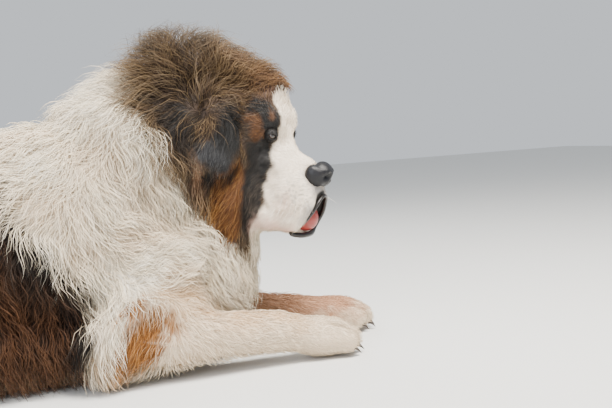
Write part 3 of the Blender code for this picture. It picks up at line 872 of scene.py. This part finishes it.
# The nose
# Cool, slate-black nose leather: a blunt block with a flat front, comma-shaped nostrils that curl out to
# the wings, a groove down the middle and a pebbled skin.
NOSE_VOXEL = 0.0013
NOSE_FRONT = 0.182
NOSE_DENTS = (
    # place (x, y, z), radius and move, in millimetres, in the head's axes
    ((179, -11, -3), 6.5, (-9, 1, 0)),
    ((172, -18, -8), 5.5, (-7, 3, 0)),
    ((163, -24, -10), 5.0, (-4, 4, 0)),
    ((184, 0, -12), 4.0, (-1.5, 0, 0)),
    ((182, 0, -22), 4.5, (-1.5, 0, 0)),
    ((176, -16, 8), 8.0, (2, -1, 1)),
)
work = bmesh.new()
work.from_mesh(nodes["nose"].data)
mesh = bpy.data.meshes.new("nose_leather")
work.to_mesh(mesh)
work.free()
place, facing = spots(mesh)
local = to_head(place)
low = np.clip(-local[:, 2] / 0.02, 0, 1)
local[:, 2] -= low * 0.010
local[:, 0] += low * 0.003
local[:, 0] -= np.clip(local[:, 2] / 0.02, 0, 1) * 0.004
set_spots(mesh, from_head(local))
nose = put("nose_leather", mesh)
modified(nose, "REMESH", mode="VOXEL", voxel_size=NOSE_VOXEL)
place, facing = spots(nose.data)
local = to_head(eased(nose.data, place, 14))
local[:, 0] = np.minimum(local[:, 0], NOSE_FRONT + (local[:, 0] - NOSE_FRONT) * 0.4)
local = pushed(local, NOSE_DENTS, lambda gap: np.exp(-gap ** 2))
set_spots(nose.data, eased(nose.data, from_head(local), 1, 0.5))
smoothed(nose.data)
# Damp leather, black with a soft shine that its pebbles break up.
pebbles = ("Voronoi", "Distance", 1.613, {}, 0.35, 0.8)
leather = new_material("nose leather", "#18181B", pebbles, Roughness=0.4, Specular_IOR_Level=0.3)
nose.data.materials.append(leather)
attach(nose, "root")
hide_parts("nose")


# The lips and the tongue
# The open mouth's wet black rim, which runs from under the nose round the edges of the flews and over
# the lower lip, and the tongue that lies behind it.
LIP_RING = (
    # place (x, y, z) and thickness in millimetres, in the head's axes
    (181, 0, -45, 3.5), (181, 14, -50, 3.8), (180, 26, -62, 4.2), (180, 36, -85, 4.6), (176, 40, -108, 5.0),
    (176, 30, -124, 5.2), (180, 14, -130, 5.6), (181, 0, -132, 5.8), (178, -14, -134, 5.6),
    (171, -28, -137, 5.2), (155, -42, -138, 4.8), (159, -46, -124, 4.2), (172, -42, -104, 4.2),
    (179, -34, -80, 4.2), (181, -24, -60, 3.8), (181, -12, -49, 3.5),
)
RING_STEPS = 96
RING_SIDES = 12


def ring_mesh(name, spots_along, steps, sides):
    """A closed tube of changing thickness along a smooth loop of places."""
    knots = np.array(spots_along, float) / 1000
    whole = []
    for share in np.arange(steps) * len(knots) / steps:
        one = int(share)
        t = share - one
        a, b, c, d = (knots[(one + k) % len(knots)] for k in (-1, 0, 1, 2))
        whole.append(0.5 * (2 * b + (c - a) * t + (2 * a - 5 * b + 4 * c - d) * t * t
                            + (3 * b - a - 3 * c + d) * t ** 3))
    whole = np.array(whole)
    line, thick = whole[:, :3], whole[:, 3]
    ahead_of = np.roll(line, -1, 0) - np.roll(line, 1, 0)
    ahead_of /= np.linalg.norm(ahead_of, axis=1, keepdims=True)
    outward = line - line.mean(0)
    outward -= ahead_of * (outward * ahead_of).sum(1)[:, None]
    outward /= np.linalg.norm(outward, axis=1, keepdims=True)
    third = np.cross(ahead_of, outward)
    turns = np.arange(sides) * 2 * math.pi / sides
    rings = (line[:, None] + thick[:, None, None] * (outward[:, None] * np.cos(turns)[None, :, None]
             + third[:, None] * np.sin(turns)[None, :, None]))
    faces = [(i * sides + j, (i + 1) % steps * sides + j, (i + 1) % steps * sides + (j + 1) % sides,
              i * sides + (j + 1) % sides) for i in range(steps) for j in range(sides)]
    mesh = bpy.data.meshes.new(name)
    mesh.from_pydata(from_head(rings.reshape(-1, 3)).tolist(), [], faces)
    smoothed(mesh)
    return mesh


# Wet skin, almost black, with sharp glints on its soft folds.
folds = ("Noise", "Fac", 6.25, {"Detail": 3.0}, 0.4, 1)
lips = put("lips", ring_mesh("lips", LIP_RING, RING_STEPS, RING_SIDES))
faced_out(lips.data)
lips.data.materials.append(new_material("wet lip skin", "#16110F", folds, Roughness=0.32))
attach(lips, "root")

TONGUE_SIZE = (0.043, 0.036, 0.034)
TONGUE_PLACE = (0.143, 0.002, -0.106)
# Wet red muscle that lets a little light in. Its buds are drawn coarser than real ones, to show.
buds = ("Noise", "Fac", 1.429, {"Detail": 2.0}, 0.5, 1)
wet_red = new_material("wet tongue", "#93352F", buds, Roughness=0.3, Subsurface_Weight=0.25,
                       Subsurface_Scale=0.004)
work = bmesh.new()
bmesh.ops.create_uvsphere(work, u_segments=40, v_segments=24, radius=1)
mesh = bpy.data.meshes.new("tongue_top")
work.to_mesh(mesh)
work.free()
place, facing = spots(mesh)
groove = np.exp(-(place[:, 1] / 0.18) ** 2) * np.clip(place[:, 2], 0, 1)
place = place * TONGUE_SIZE
place[:, 2] -= groove * 0.004
set_spots(mesh, from_head(place + TONGUE_PLACE))
smoothed(mesh)
mesh.materials.append(wet_red)
tongue = put("tongue_top", mesh)
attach(tongue, "root")
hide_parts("tongue")


# The claws
# Blunt claws of dark, dull horn, four to a paw, that curve down between the toes' hair to the floor.
horn = new_material("claw horn", "#3A302A", Roughness=0.4)
CLAW_RINGS = 7
CLAW_SIDES = 10
CLAW_SIZE = 0.0042
CLAW_LENGTH = 0.016
CLAW_HEIGHT = 0.0165
for name, middle, turn, tips in PAWS:
    points, faces = [], []
    for reach, offset in tips:
        base = len(points)
        for ring in range(CLAW_RINGS):
            t = ring / (CLAW_RINGS - 1)
            size = CLAW_SIZE * (1 - t) ** 0.6 + 0.0006
            for corner in range(CLAW_SIDES):
                angle = corner * 2 * math.pi / CLAW_SIDES
                points.append((reach - 0.012 + CLAW_LENGTH * t, offset + size * 0.75 * math.cos(angle),
                               CLAW_HEIGHT - 0.012 * t * t + size * math.sin(angle)))
        for ring in range(CLAW_RINGS - 1):
            for corner in range(CLAW_SIDES):
                one, two = base + ring * CLAW_SIDES, base + (ring + 1) * CLAW_SIDES
                after = (corner + 1) % CLAW_SIDES
                faces.append((one + corner, one + after, two + after, two + corner))
        faces.append(tuple(base + c for c in reversed(range(CLAW_SIDES))))
        faces.append(tuple(base + (CLAW_RINGS - 1) * CLAW_SIDES + c for c in range(CLAW_SIDES)))
    mesh = bpy.data.meshes.new("claws_" + name)
    mesh.from_pydata(points, [], faces)
    mesh.transform(Matrix.Translation((*middle, 0)) @ Matrix.Rotation(math.radians(turn), 4, "Z"))
    faced_out(mesh)
    smoothed(mesh)
    mesh.materials.append(horn)
    claws = put("claws_" + name, mesh)
    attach(claws, "root")


# The coat
# Tufts of long guard hair over the whole skin. One tuft is a thin tapered solid that stands up from its
# root, turns over into the lie of the coat, waves, and closes up with its neighbours into locks.
COAT_INPUTS = (
    ("Spacing", "NodeSocketFloat", 0.005),
    ("Width", "NodeSocketFloat", 0.001),
    ("Length scale", "NodeSocketFloat", 1.0),
    ("Spread", "NodeSocketFloat", 0.5),
    ("Clump", "NodeSocketFloat", 0.5),
    ("Clump size", "NodeSocketFloat", 0.016),
    ("Droop", "NodeSocketFloat", 0.1),
    ("Segments", "NodeSocketInt", 4),
    ("Seed", "NodeSocketInt", 1),
)
FLOOR_GAP = 0.0015
PATCH_SIZE = 0.003
# What rises over the crest's line is pressed to this share, so that the wind-blown hair stays low enough.
CREST_LINE = 0.69
CREST_PRESS = 0.55
# A tuft's waves in radians along its length, and how far they go aside and up for each metre of it.
WAVES = 6.6
SWAY = 0.105
HEAVE = 0.045

# Dry guard hair, dull with a faint sheen. A single hair is too fine to show, so one tuft stands for several.
guard_hair = new_material("dog guard hair", "hair_colour", Roughness=0.6, IOR=1.55,
                          Specular_IOR_Level=0.2)

MATH = "ShaderNodeMath"
VECTOR = "ShaderNodeVectorMath"
ABOVE = (0, 0, 1)
COAT_LAYERS = (
    # what the skin, the roots and the tufts carry along for the nodes
    ("coat_share", "FLOAT"), ("coat_length", "FLOAT"), ("coat_stand", "FLOAT"), ("coat_wave", "FLOAT"),
    ("coat_run", "FLOAT_VECTOR"), ("coat_place", "FLOAT_VECTOR"), ("coat_up", "FLOAT_VECTOR"),
    ("coat_chance", "FLOAT_VECTOR"), ("coat_local", "FLOAT_VECTOR"), ("OFBake", "FLOAT_VECTOR"),
    ("coat_root_and_shade", "FLOAT_COLOR"), ("coat_tip", "FLOAT_COLOR"), ("coat_stray", "FLOAT_COLOR"),
)
TUFT_STEPS = (
    # what a step gives, its node, its operation, and what goes in: numbers, or what earlier steps gave
    # the run of the hair, turned aside by gusts and by chance
    ("wild", MATH, "MULTIPLY_ADD", "coat_wave", 2.6, 0.5),
    ("veer", MATH, "SUBTRACT", "gust", 0.5),
    ("veer", MATH, "MULTIPLY", "veer", "wild"),
    ("aside", MATH, "SUBTRACT", "luck", 0.5),
    ("aside", MATH, "MULTIPLY_ADD", "aside", "Spread", "veer"),
    ("side", VECTOR, "CROSS_PRODUCT", "coat_up", "coat_run"),
    ("side", VECTOR, "NORMALIZE", "side"),
    ("side", VECTOR, "MULTIPLY", "side", "aside"),
    ("run", VECTOR, "ADD", "coat_run", "side"),
    ("run", VECTOR, "NORMALIZE", "run"),
    ("side", VECTOR, "CROSS_PRODUCT", "coat_up", "run"),
    # how far it stands up, how long it is, and its way forward and up
    ("stand", MATH, "MULTIPLY_ADD", "whim", 0.8, 0.55),
    ("stand", MATH, "MULTIPLY", "coat_stand", "stand"),
    ("length", MATH, "MULTIPLY", "coat_length", "Length scale"),
    ("grown", MATH, "MULTIPLY_ADD", "fate", 0.45, 0.68),
    ("length", MATH, "MULTIPLY", "length", "grown"),
    ("lying", MATH, "MULTIPLY_ADD", "stand", -0.45, 1.0),
    ("square", MATH, "MULTIPLY", "along", "along"),
    ("turned", MATH, "MULTIPLY", "square", 1.1),
    ("bent", MATH, "MULTIPLY", "along", 2.0),
    ("bent", MATH, "SUBTRACT", "bent", "turned"),
    ("forward", MATH, "MULTIPLY", "along", "lying"),
    ("forward", MATH, "MULTIPLY", "forward", "length"),
    ("forward", VECTOR, "MULTIPLY", "run", "forward"),
    ("lift", MATH, "MULTIPLY", "bent", "stand"),
    ("lift", MATH, "MULTIPLY", "lift", "length"),
    ("lift", VECTOR, "MULTIPLY", "coat_up", "lift"),
    ("path", VECTOR, "ADD", "forward", "lift"),
    # its waves, aside and up
    ("phase", MATH, "MULTIPLY", "luck", 0.8),
    ("phase", MATH, "MULTIPLY_ADD", "swirl", 16.0, "phase"),
    ("turn", MATH, "MULTIPLY_ADD", "along", WAVES, "phase"),
    ("reach", MATH, "MULTIPLY", "coat_wave", "length"),
    ("first", MATH, "SINE", "phase"),
    ("sine", MATH, "SINE", "turn"),
    ("sine", MATH, "SUBTRACT", "sine", "first"),
    ("sway", MATH, "MULTIPLY", "reach", SWAY),
    ("sway", MATH, "MULTIPLY", "sway", "sine"),
    ("sway", VECTOR, "MULTIPLY", "side", "sway"),
    ("path", VECTOR, "ADD", "path", "sway"),
    ("first", MATH, "COSINE", "phase"),
    ("cosine", MATH, "COSINE", "turn"),
    ("cosine", MATH, "SUBTRACT", "cosine", "first"),
    ("heave", MATH, "MULTIPLY", "reach", HEAVE),
    ("heave", MATH, "MULTIPLY", "heave", "cosine"),
    ("heave", VECTOR, "MULTIPLY", "coat_up", "heave"),
    ("path", VECTOR, "ADD", "path", "heave"),
    # how it droops under its own weight
    ("down", MATH, "MULTIPLY", "Droop", -1.0),
    ("fall", MATH, "MULTIPLY", "square", "length"),
    ("fall", MATH, "MULTIPLY", "fall", "down"),
    ("fall", VECTOR, "MULTIPLY", "fall", ABOVE),
    ("path", VECTOR, "ADD", "path", "fall"),
    # how it closes up towards the middle of its lock
    ("gather", VECTOR, "SUBTRACT", "lock", "coat_place"),
    ("off", VECTOR, "DOT_PRODUCT", "gather", "coat_up"),
    ("off", VECTOR, "MULTIPLY", "coat_up", "off"),
    ("gather", VECTOR, "SUBTRACT", "gather", "off"),
    ("close", MATH, "POWER", "along", 1.4),
    ("close", MATH, "MULTIPLY", "close", "Clump"),
    ("gather", VECTOR, "MULTIPLY", "gather", "close"),
    ("path", VECTOR, "ADD", "path", "gather"),
    # its thickness across its course
    ("course", VECTOR, "MULTIPLY", "run", "lying"),
    ("rise", MATH, "MULTIPLY", "stand", 0.8),
    ("rise", VECTOR, "MULTIPLY", "coat_up", "rise"),
    ("course", VECTOR, "ADD", "course", "rise"),
    ("course", VECTOR, "NORMALIZE", "course"),
    ("over", VECTOR, "CROSS_PRODUCT", "course", "side"),
    ("stout", MATH, "MULTIPLY_ADD", "along", 1.6, 1.0),
    ("stout", MATH, "MULTIPLY", "stout", "Width"),
    ("wide", MATH, "MULTIPLY", "across", "stout"),
    ("wide", VECTOR, "MULTIPLY", "side", "wide"),
    ("thick", MATH, "MULTIPLY", "deep", "stout"),
    ("thick", VECTOR, "MULTIPLY", "over", "thick"),
    ("body", VECTOR, "ADD", "wide", "thick"),
    # its place, pressed where it rises over the crest's line and kept off the floor
    ("final", VECTOR, "ADD", "coat_place", "path"),
    ("final", VECTOR, "ADD", "final", "body"),
    ("height", VECTOR, "DOT_PRODUCT", "final", ABOVE),
    ("pressed", MATH, "MULTIPLY_ADD", "height", CREST_PRESS, CREST_LINE * (1 - CREST_PRESS)),
    ("height", MATH, "MINIMUM", "height", "pressed"),
    ("ground", MATH, "MULTIPLY_ADD", "luck", 0.003, FLOOR_GAP),
    ("height", MATH, "MAXIMUM", "height", "ground"),
    ("height", VECTOR, "MULTIPLY", "height", ABOVE),
    ("final", VECTOR, "MULTIPLY", "final", (1, 1, 0)),
    ("final", VECTOR, "ADD", "final", "height"),
    # how far its colour runs from the root's to the tip's, the darker root partly painted shade, how much of a
    # stray it is, and how light
    ("tipped", MATH, "POWER", "along", 0.6),
    ("strayed", MATH, "POWER", "whim", 1.6),
    ("light", MATH, "MULTIPLY_ADD", "fate", 0.3, 0.84),
    # a small patch of the unwrap for each tuft
    ("patch", VECTOR, "MULTIPLY", "corner", (PATCH_SIZE / 2,) * 3),
    ("patch", VECTOR, "ADD", "OFBake", "patch"),
)


def coat_nodes():
    """The node group that turns a piece of skin into its tufts."""
    tree = bpy.data.node_groups.new("coat", "GeometryNodeTree")
    tree.interface.new_socket("Geometry", in_out="INPUT", socket_type="NodeSocketGeometry")
    for name, kind, value in COAT_INPUTS:
        tree.interface.new_socket(name, in_out="INPUT", socket_type=kind).default_value = value
    tree.interface.new_socket("Geometry", in_out="OUTPUT", socket_type="NodeSocketGeometry")
    given = node(tree, "NodeGroupInput")
    known = {name: (given, name) for name, kind, value in COAT_INPUTS}
    for name, kind in COAT_LAYERS:
        known[name] = node(tree, "GeometryNodeInputNamedAttribute", {"data_type": kind}, {"Name": name})

    area = node(tree, MATH, {"operation": "MULTIPLY"}, (known["Spacing"], known["Spacing"]))
    density = node(tree, MATH, {"operation": "DIVIDE"}, (2.2, area))
    roots = node(tree, "GeometryNodeDistributePointsOnFaces", {"distribute_method": "POISSON"},
                 {"Mesh": (given, "Geometry"), "Distance Min": known["Spacing"], "Density Max": density,
                  "Density Factor": known["coat_share"], "Seed": known["Seed"]})
    here = node(tree, "GeometryNodeInputPosition")
    dice = node(tree, "FunctionNodeRandomValue", {"data_type": "FLOAT_VECTOR"}, {"Seed": known["Seed"]})
    cone = node(tree, "GeometryNodeMeshCone", {"fill_type": "NGON"},
                {"Vertices": 3, "Side Segments": known["Segments"], "Fill Segments": 1, "Radius Top": 0.0,
                 "Radius Bottom": 1.0, "Depth": 1.0})
    made = {"roots": (roots, "Points"), "hair": (cone, "Mesh")}
    for thing, name, value in (("roots", "coat_place", here), ("roots", "coat_up", (roots, "Normal")),
                               ("roots", "coat_chance", dice), ("hair", "coat_local", here)):
        made[thing] = node(tree, "GeometryNodeStoreNamedAttribute",
                           {"data_type": "FLOAT_VECTOR", "domain": "POINT"},
                           {"Geometry": made[thing], "Name": name, "Value": value})
    planted = node(tree, "GeometryNodeInstanceOnPoints", None,
                   {"Points": made["roots"], "Instance": made["hair"]})
    tufts = node(tree, "GeometryNodeRealizeInstances", None, {"Geometry": planted})

    for layer, names in (("coat_local", ("across", "deep", "along")),
                         ("coat_chance", ("luck", "fate", "whim"))):
        parts = node(tree, "ShaderNodeSeparateXYZ", None, (known[layer],))
        known.update({name: (parts, index) for index, name in enumerate(names)})
    for name, scale, detail in (("gust", 13.0, 2.0), ("swirl", 16.0, 1.0)):
        known[name] = node(tree, "ShaderNodeTexNoise", None,
                           {"Vector": known["coat_place"], "Scale": scale, "Detail": detail})
    size = node(tree, MATH, {"operation": "DIVIDE"}, (1.0, known["Clump size"]))
    cells = node(tree, "ShaderNodeTexVoronoi", None, {"Vector": known["coat_place"], "Scale": size})
    known["lock"] = (cells, "Position")
    known["corner"] = node(tree, "ShaderNodeCombineXYZ", None, (known["across"], known["along"]))
    for name, kind, operation, *inputs in TUFT_STEPS:
        step = node(tree, kind, {"operation": operation}, [known.get(value, value) for value in inputs])
        known[name] = (step, "Value" if kind == MATH or operation == "DOT_PRODUCT" else "Vector")

    tip = node(tree, "ShaderNodeMix", {"data_type": "RGBA"},
               {0: known["strayed"], 6: known["coat_tip"], 7: known["coat_stray"]})
    shade = node(tree, "ShaderNodeMix", {"data_type": "RGBA"},
                 {0: known["tipped"], 6: known["coat_root_and_shade"], 7: (tip, 2)})
    shade = node(tree, VECTOR, {"operation": "MULTIPLY"}, ((shade, 2), known["light"]))
    for name, kind, domain, value in (("hair_colour", "FLOAT_COLOR", "POINT", shade),
                                      ("OFBake", "FLOAT2", "CORNER", known["patch"])):
        tufts = node(tree, "GeometryNodeStoreNamedAttribute", {"data_type": kind, "domain": domain},
                     {"Geometry": tufts, "Name": name, "Value": value})
    moved = node(tree, "GeometryNodeSetPosition", None, {"Geometry": tufts, "Position": known["final"]})
    smooth = node(tree, "GeometryNodeSetShadeSmooth", None, {"Geometry": moved})
    done = node(tree, "GeometryNodeSetMaterial", None, {"Geometry": smooth, "Material": guard_hair})
    node(tree, "NodeGroupOutput", None, {"Geometry": done})
    return tree


coat_tree = coat_nodes()


# The pieces of the coat
# The skin is shared out among its parts of the body, nearest solid by nearest solid. Each share is
# unwrapped for itself and grown over with its own tufts; the crest, the neck and the trunk get two layers.
def owners(points):
    """The name of the nearest flesh solid to each point."""
    reach = np.full(len(points), 9.0)
    owner = np.zeros(len(points), int)
    for index, name in enumerate(FLESH):
        mesh = nodes[name].data
        solid = BVHTree.FromPolygons([v.co for v in mesh.vertices], [p.vertices for p in mesh.polygons])
        apart = np.array([solid.find_nearest(p)[3] for p in points.tolist()])
        owner[apart < reach] = index
        reach = np.minimum(reach, apart)
    return np.array(FLESH)[owner]


middle = face_middles(skin.data)
owned = owners(middle)
local = to_head(middle)
near = middle[:, 1] < 0.0
on_head = np.isin(owned, ("head", "lower_jaw"))
on_ear = np.char.startswith(owned, "ear")
crested = (groomed(middle)[2] > CREST_DEPTH) & ~on_ear
short = on_head & (local[:, 0] > 0.004) & (local[:, 2] < 0.10)
body_near = (owned == "trunk") & near
body_far = (owned == "trunk") & ~near
hind_leg = np.char.startswith(owned, "hindleg")
hind_paw = np.char.startswith(owned, "hindpaw")
fore_leg = np.char.startswith(owned, "foreleg")
fore_paw = np.char.startswith(owned, "forepaw")
flank = body_near & (middle[:, 0] <= 0.06) & (middle[:, 0] > -0.24)
chest = body_near & (middle[:, 0] > 0.06)
collar = (owned == "neck") & ~crested


def share_of_skin(name, chosen):
    """A copy of the chosen faces of the skin, with its own unwrap."""
    work = bmesh.new()
    work.from_mesh(skin.data)
    work.faces.ensure_lookup_table()
    bmesh.ops.delete(work, geom=[work.faces[i] for i in np.flatnonzero(~chosen)], context="FACES")
    mesh = bpy.data.meshes.new(name)
    work.to_mesh(mesh)
    work.free()
    piece = put(name, mesh)
    bpy.context.view_layer.objects.active = piece
    piece.select_set(True)
    mesh.uv_layers.new(name="OFBake")
    bpy.ops.object.mode_set(mode="EDIT")
    bpy.ops.mesh.select_all(action="SELECT")
    bpy.ops.uv.smart_project(angle_limit=math.radians(60), island_margin=0.004)
    bpy.ops.object.mode_set(mode="OBJECT")
    piece.select_set(False)
    return piece


def grown_over(piece, **settings):
    """Replaces a share of skin by the tufts that the coat's nodes grow on it."""
    change = piece.modifiers.new("coat", "NODES")
    change.node_group = coat_tree
    sockets = {s.name: s.identifier for s in coat_tree.interface.items_tree if s.in_out == "INPUT"}
    for name, value in settings.items():
        change[sockets[name.replace("_", " ").capitalize()]] = value
    mesh = evaluated(piece)
    piece.modifiers.clear()
    piece.data = mesh
    for layer in [a.name for a in mesh.attributes if a.name.startswith("coat_")]:
        mesh.attributes.remove(mesh.attributes[layer])


SHARES = (
    # name, slot, share of the skin, spacing and width in mm, length scale, lift, spread, clump, size of
    # a clump in mm, droop, segments, seed
    ("coat_face", "white_coat", short & ~crested, 3.1, 0.45, 1.0, 1, 0.6, 0.1, 8, 0.1, 3, 1),
    ("coat_head", "white_coat", on_head & ~short & ~crested, 3.5, 0.52, 1.0, 1, 0.7, 0.55, 14, 0.1, 5, 2),
    ("coat_ears", "brown_coat", on_ear, 3.2, 0.5, 0.55, 1, 0.5, 0.3, 9, 0.1, 3, 3),
    ("coat_crest", "brown_coat", crested, 3.6, 0.48, 1.0, 1, 0.8, 0.7, 20, 0.1, 6, 4),
    ("coat_neck_right", "white_coat", collar & near, 3.9, 0.62, 1.0, 1, 0.7, 0.6, 17, 0.1, 5, 5),
    ("coat_neck_left", "white_coat", collar & ~near, 6.8, 1.2, 1.0, 1, 0.7, 0.6, 19, 0.1, 4, 6),
    ("coat_chest", "white_coat", chest, 3.9, 0.62, 1.0, 1, 0.7, 0.6, 17, 0.1, 5, 7),
    ("coat_flank_right", "brown_coat", flank, 4.4, 0.72, 1.0, 1, 0.7, 0.6, 17, 0.1, 5, 8),
    ("coat_rump_right", "brown_coat", body_near & (middle[:, 0] <= -0.24), 7, 1.25, 1.0, 1, 0.7, 0.6,
     20, 0.1, 4, 9),
    ("coat_chest_left", "white_coat", body_far & (middle[:, 0] > -0.1), 7, 1.25, 1.0, 1, 0.7, 0.6,
     20, 0.1, 4, 10),
    ("coat_rump_left", "brown_coat", body_far & (middle[:, 0] <= -0.1), 7.4, 1.3, 1.0, 1, 0.7, 0.6,
     20, 0.1, 4, 11),
    ("coat_forelegs", "white_coat", fore_leg, 4.3, 0.65, 1.0, 1, 0.7, 0.45, 13, 0.1, 4, 12),
    ("coat_forepaws", "white_coat", fore_paw, 3.3, 0.5, 0.8, 1, 0.6, 0.15, 9, 0.1, 3, 13),
    ("coat_hindlegs", "white_coat", hind_leg | hind_paw, 5.6, 1.05, 1.0, 1, 0.7, 0.5, 15, 0.1, 4, 14),
    ("coat_tail", "brown_coat", owned == "tail", 6.2, 1.1, 1.0, 1, 0.8, 0.55, 18, 0.1, 4, 15),
    # long, fine hairs that the wind lifts clear of the crest and the ear
    ("coat_flyaway", "brown_coat", crested | (on_ear & (local[:, 2] > 0.03)), 6.6, 0.42, 1.18, 1.15, 0.9,
     0.85, 34, 0.22, 9, 71),
    # heavier locks, parted from the even coat by the wind and by the dog's own lying
    ("locks_collar", "white_coat", collar & near, 9, 0.75, 1.15, 1, 0.4, 0.9, 30, 0.12, 7, 81),
    ("locks_chest", "white_coat", chest, 9, 0.75, 1.12, 1, 0.4, 0.9, 28, 0.12, 7, 82),
    ("locks_saddle", "brown_coat", flank, 9.5, 0.8, 1.15, 1, 0.4, 0.9, 34, 0.12, 7, 83),
    ("locks_crest", "brown_coat", crested, 9, 0.62, 1.12, 1, 0.4, 0.9, 42, 0.12, 7, 84),
)
for name, slot, chosen, spacing, width, scale, lift, spread, clump, size, droop, segments, seed in SHARES:
    piece = share_of_skin(name, chosen)
    layer = piece.data.attributes["coat_stand"]
    lifted = np.empty(len(piece.data.vertices), np.float32)
    layer.data.foreach_get("value", lifted)
    layer.data.foreach_set("value", lifted * lift)
    grown_over(piece, Spacing=spacing / 1000, Width=width / 1000, Length_scale=scale, Spread=spread,
               Clump=clump, Clump_size=size / 1000, Droop=droop, Segments=segments, Seed=seed)
    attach(piece, "root")


# The whiskers
# Stiff white bristles in three rows on each flew, thin as fishing line.
bristle = new_material("whisker", "#D8D2C8", Roughness=0.4)
WHISKER_ROWS = (
    # first and last root, count, way out, length in millimetres
    ((0.128, -0.064, -0.052), (0.166, -0.048, -0.058), 5, (0.7, -1.0, -0.1), 46),
    ((0.118, -0.069, -0.074), (0.160, -0.054, -0.076), 5, (0.3, -1.0, -0.2), 48),
    ((0.112, -0.072, -0.096), (0.150, -0.060, -0.096), 5, (0.1, -1.0, -0.2), 34),
)
WHISKER_WIDTH = 0.00035
WHISKER_RINGS = 7
BRISTLE_SIDES = ((1, 0, 0), (-0.5, 0.5, 0.7), (-0.5, -0.5, -0.7))
hide_tree = BVHTree.FromPolygons([v.co for v in skin.data.vertices], [p.vertices for p in skin.data.polygons])
points, faces = [], []
for first, last, count, way, length in WHISKER_ROWS:
    for index in range(count):
        for side in (1, -1):
            flip = np.array((1, side, 1))
            share = index / (count - 1)
            root = (np.array(first) * (1 - share) + np.array(last) * share) * flip
            root = np.array(hide_tree.find_nearest(Vector(from_head(root)))[0])
            way_out = head_turn @ (np.array(way) * flip)
            way_out /= np.linalg.norm(way_out)
            reach = length / 1000 * (0.75 + 0.5 * ((index * 7 + 3 * side) % 5) / 4)
            base = len(points)
            for ring in range(WHISKER_RINGS):
                t = ring / (WHISKER_RINGS - 1)
                middle = root + way_out * reach * t + np.array((0, 0, -0.25)) * reach * t * t
                size = WHISKER_WIDTH * (1 - t) + 0.00005
                points += [tuple(middle + size * np.array(v)) for v in BRISTLE_SIDES]
            for ring in range(WHISKER_RINGS - 1):
                one, two = base + ring * 3, base + ring * 3 + 3
                faces += [(one + c, one + (c + 1) % 3, two + (c + 1) % 3, two + c) for c in range(3)]
            end = base + 3 * (WHISKER_RINGS - 1)
            faces += [(base + 2, base + 1, base), (end, end + 1, end + 2)]
mesh = bpy.data.meshes.new("whiskers")
mesh.from_pydata(points, [], faces)
faced_out(mesh)
mesh.materials.append(bristle)
whiskers = put("whiskers", mesh)
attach(whiskers, "root")
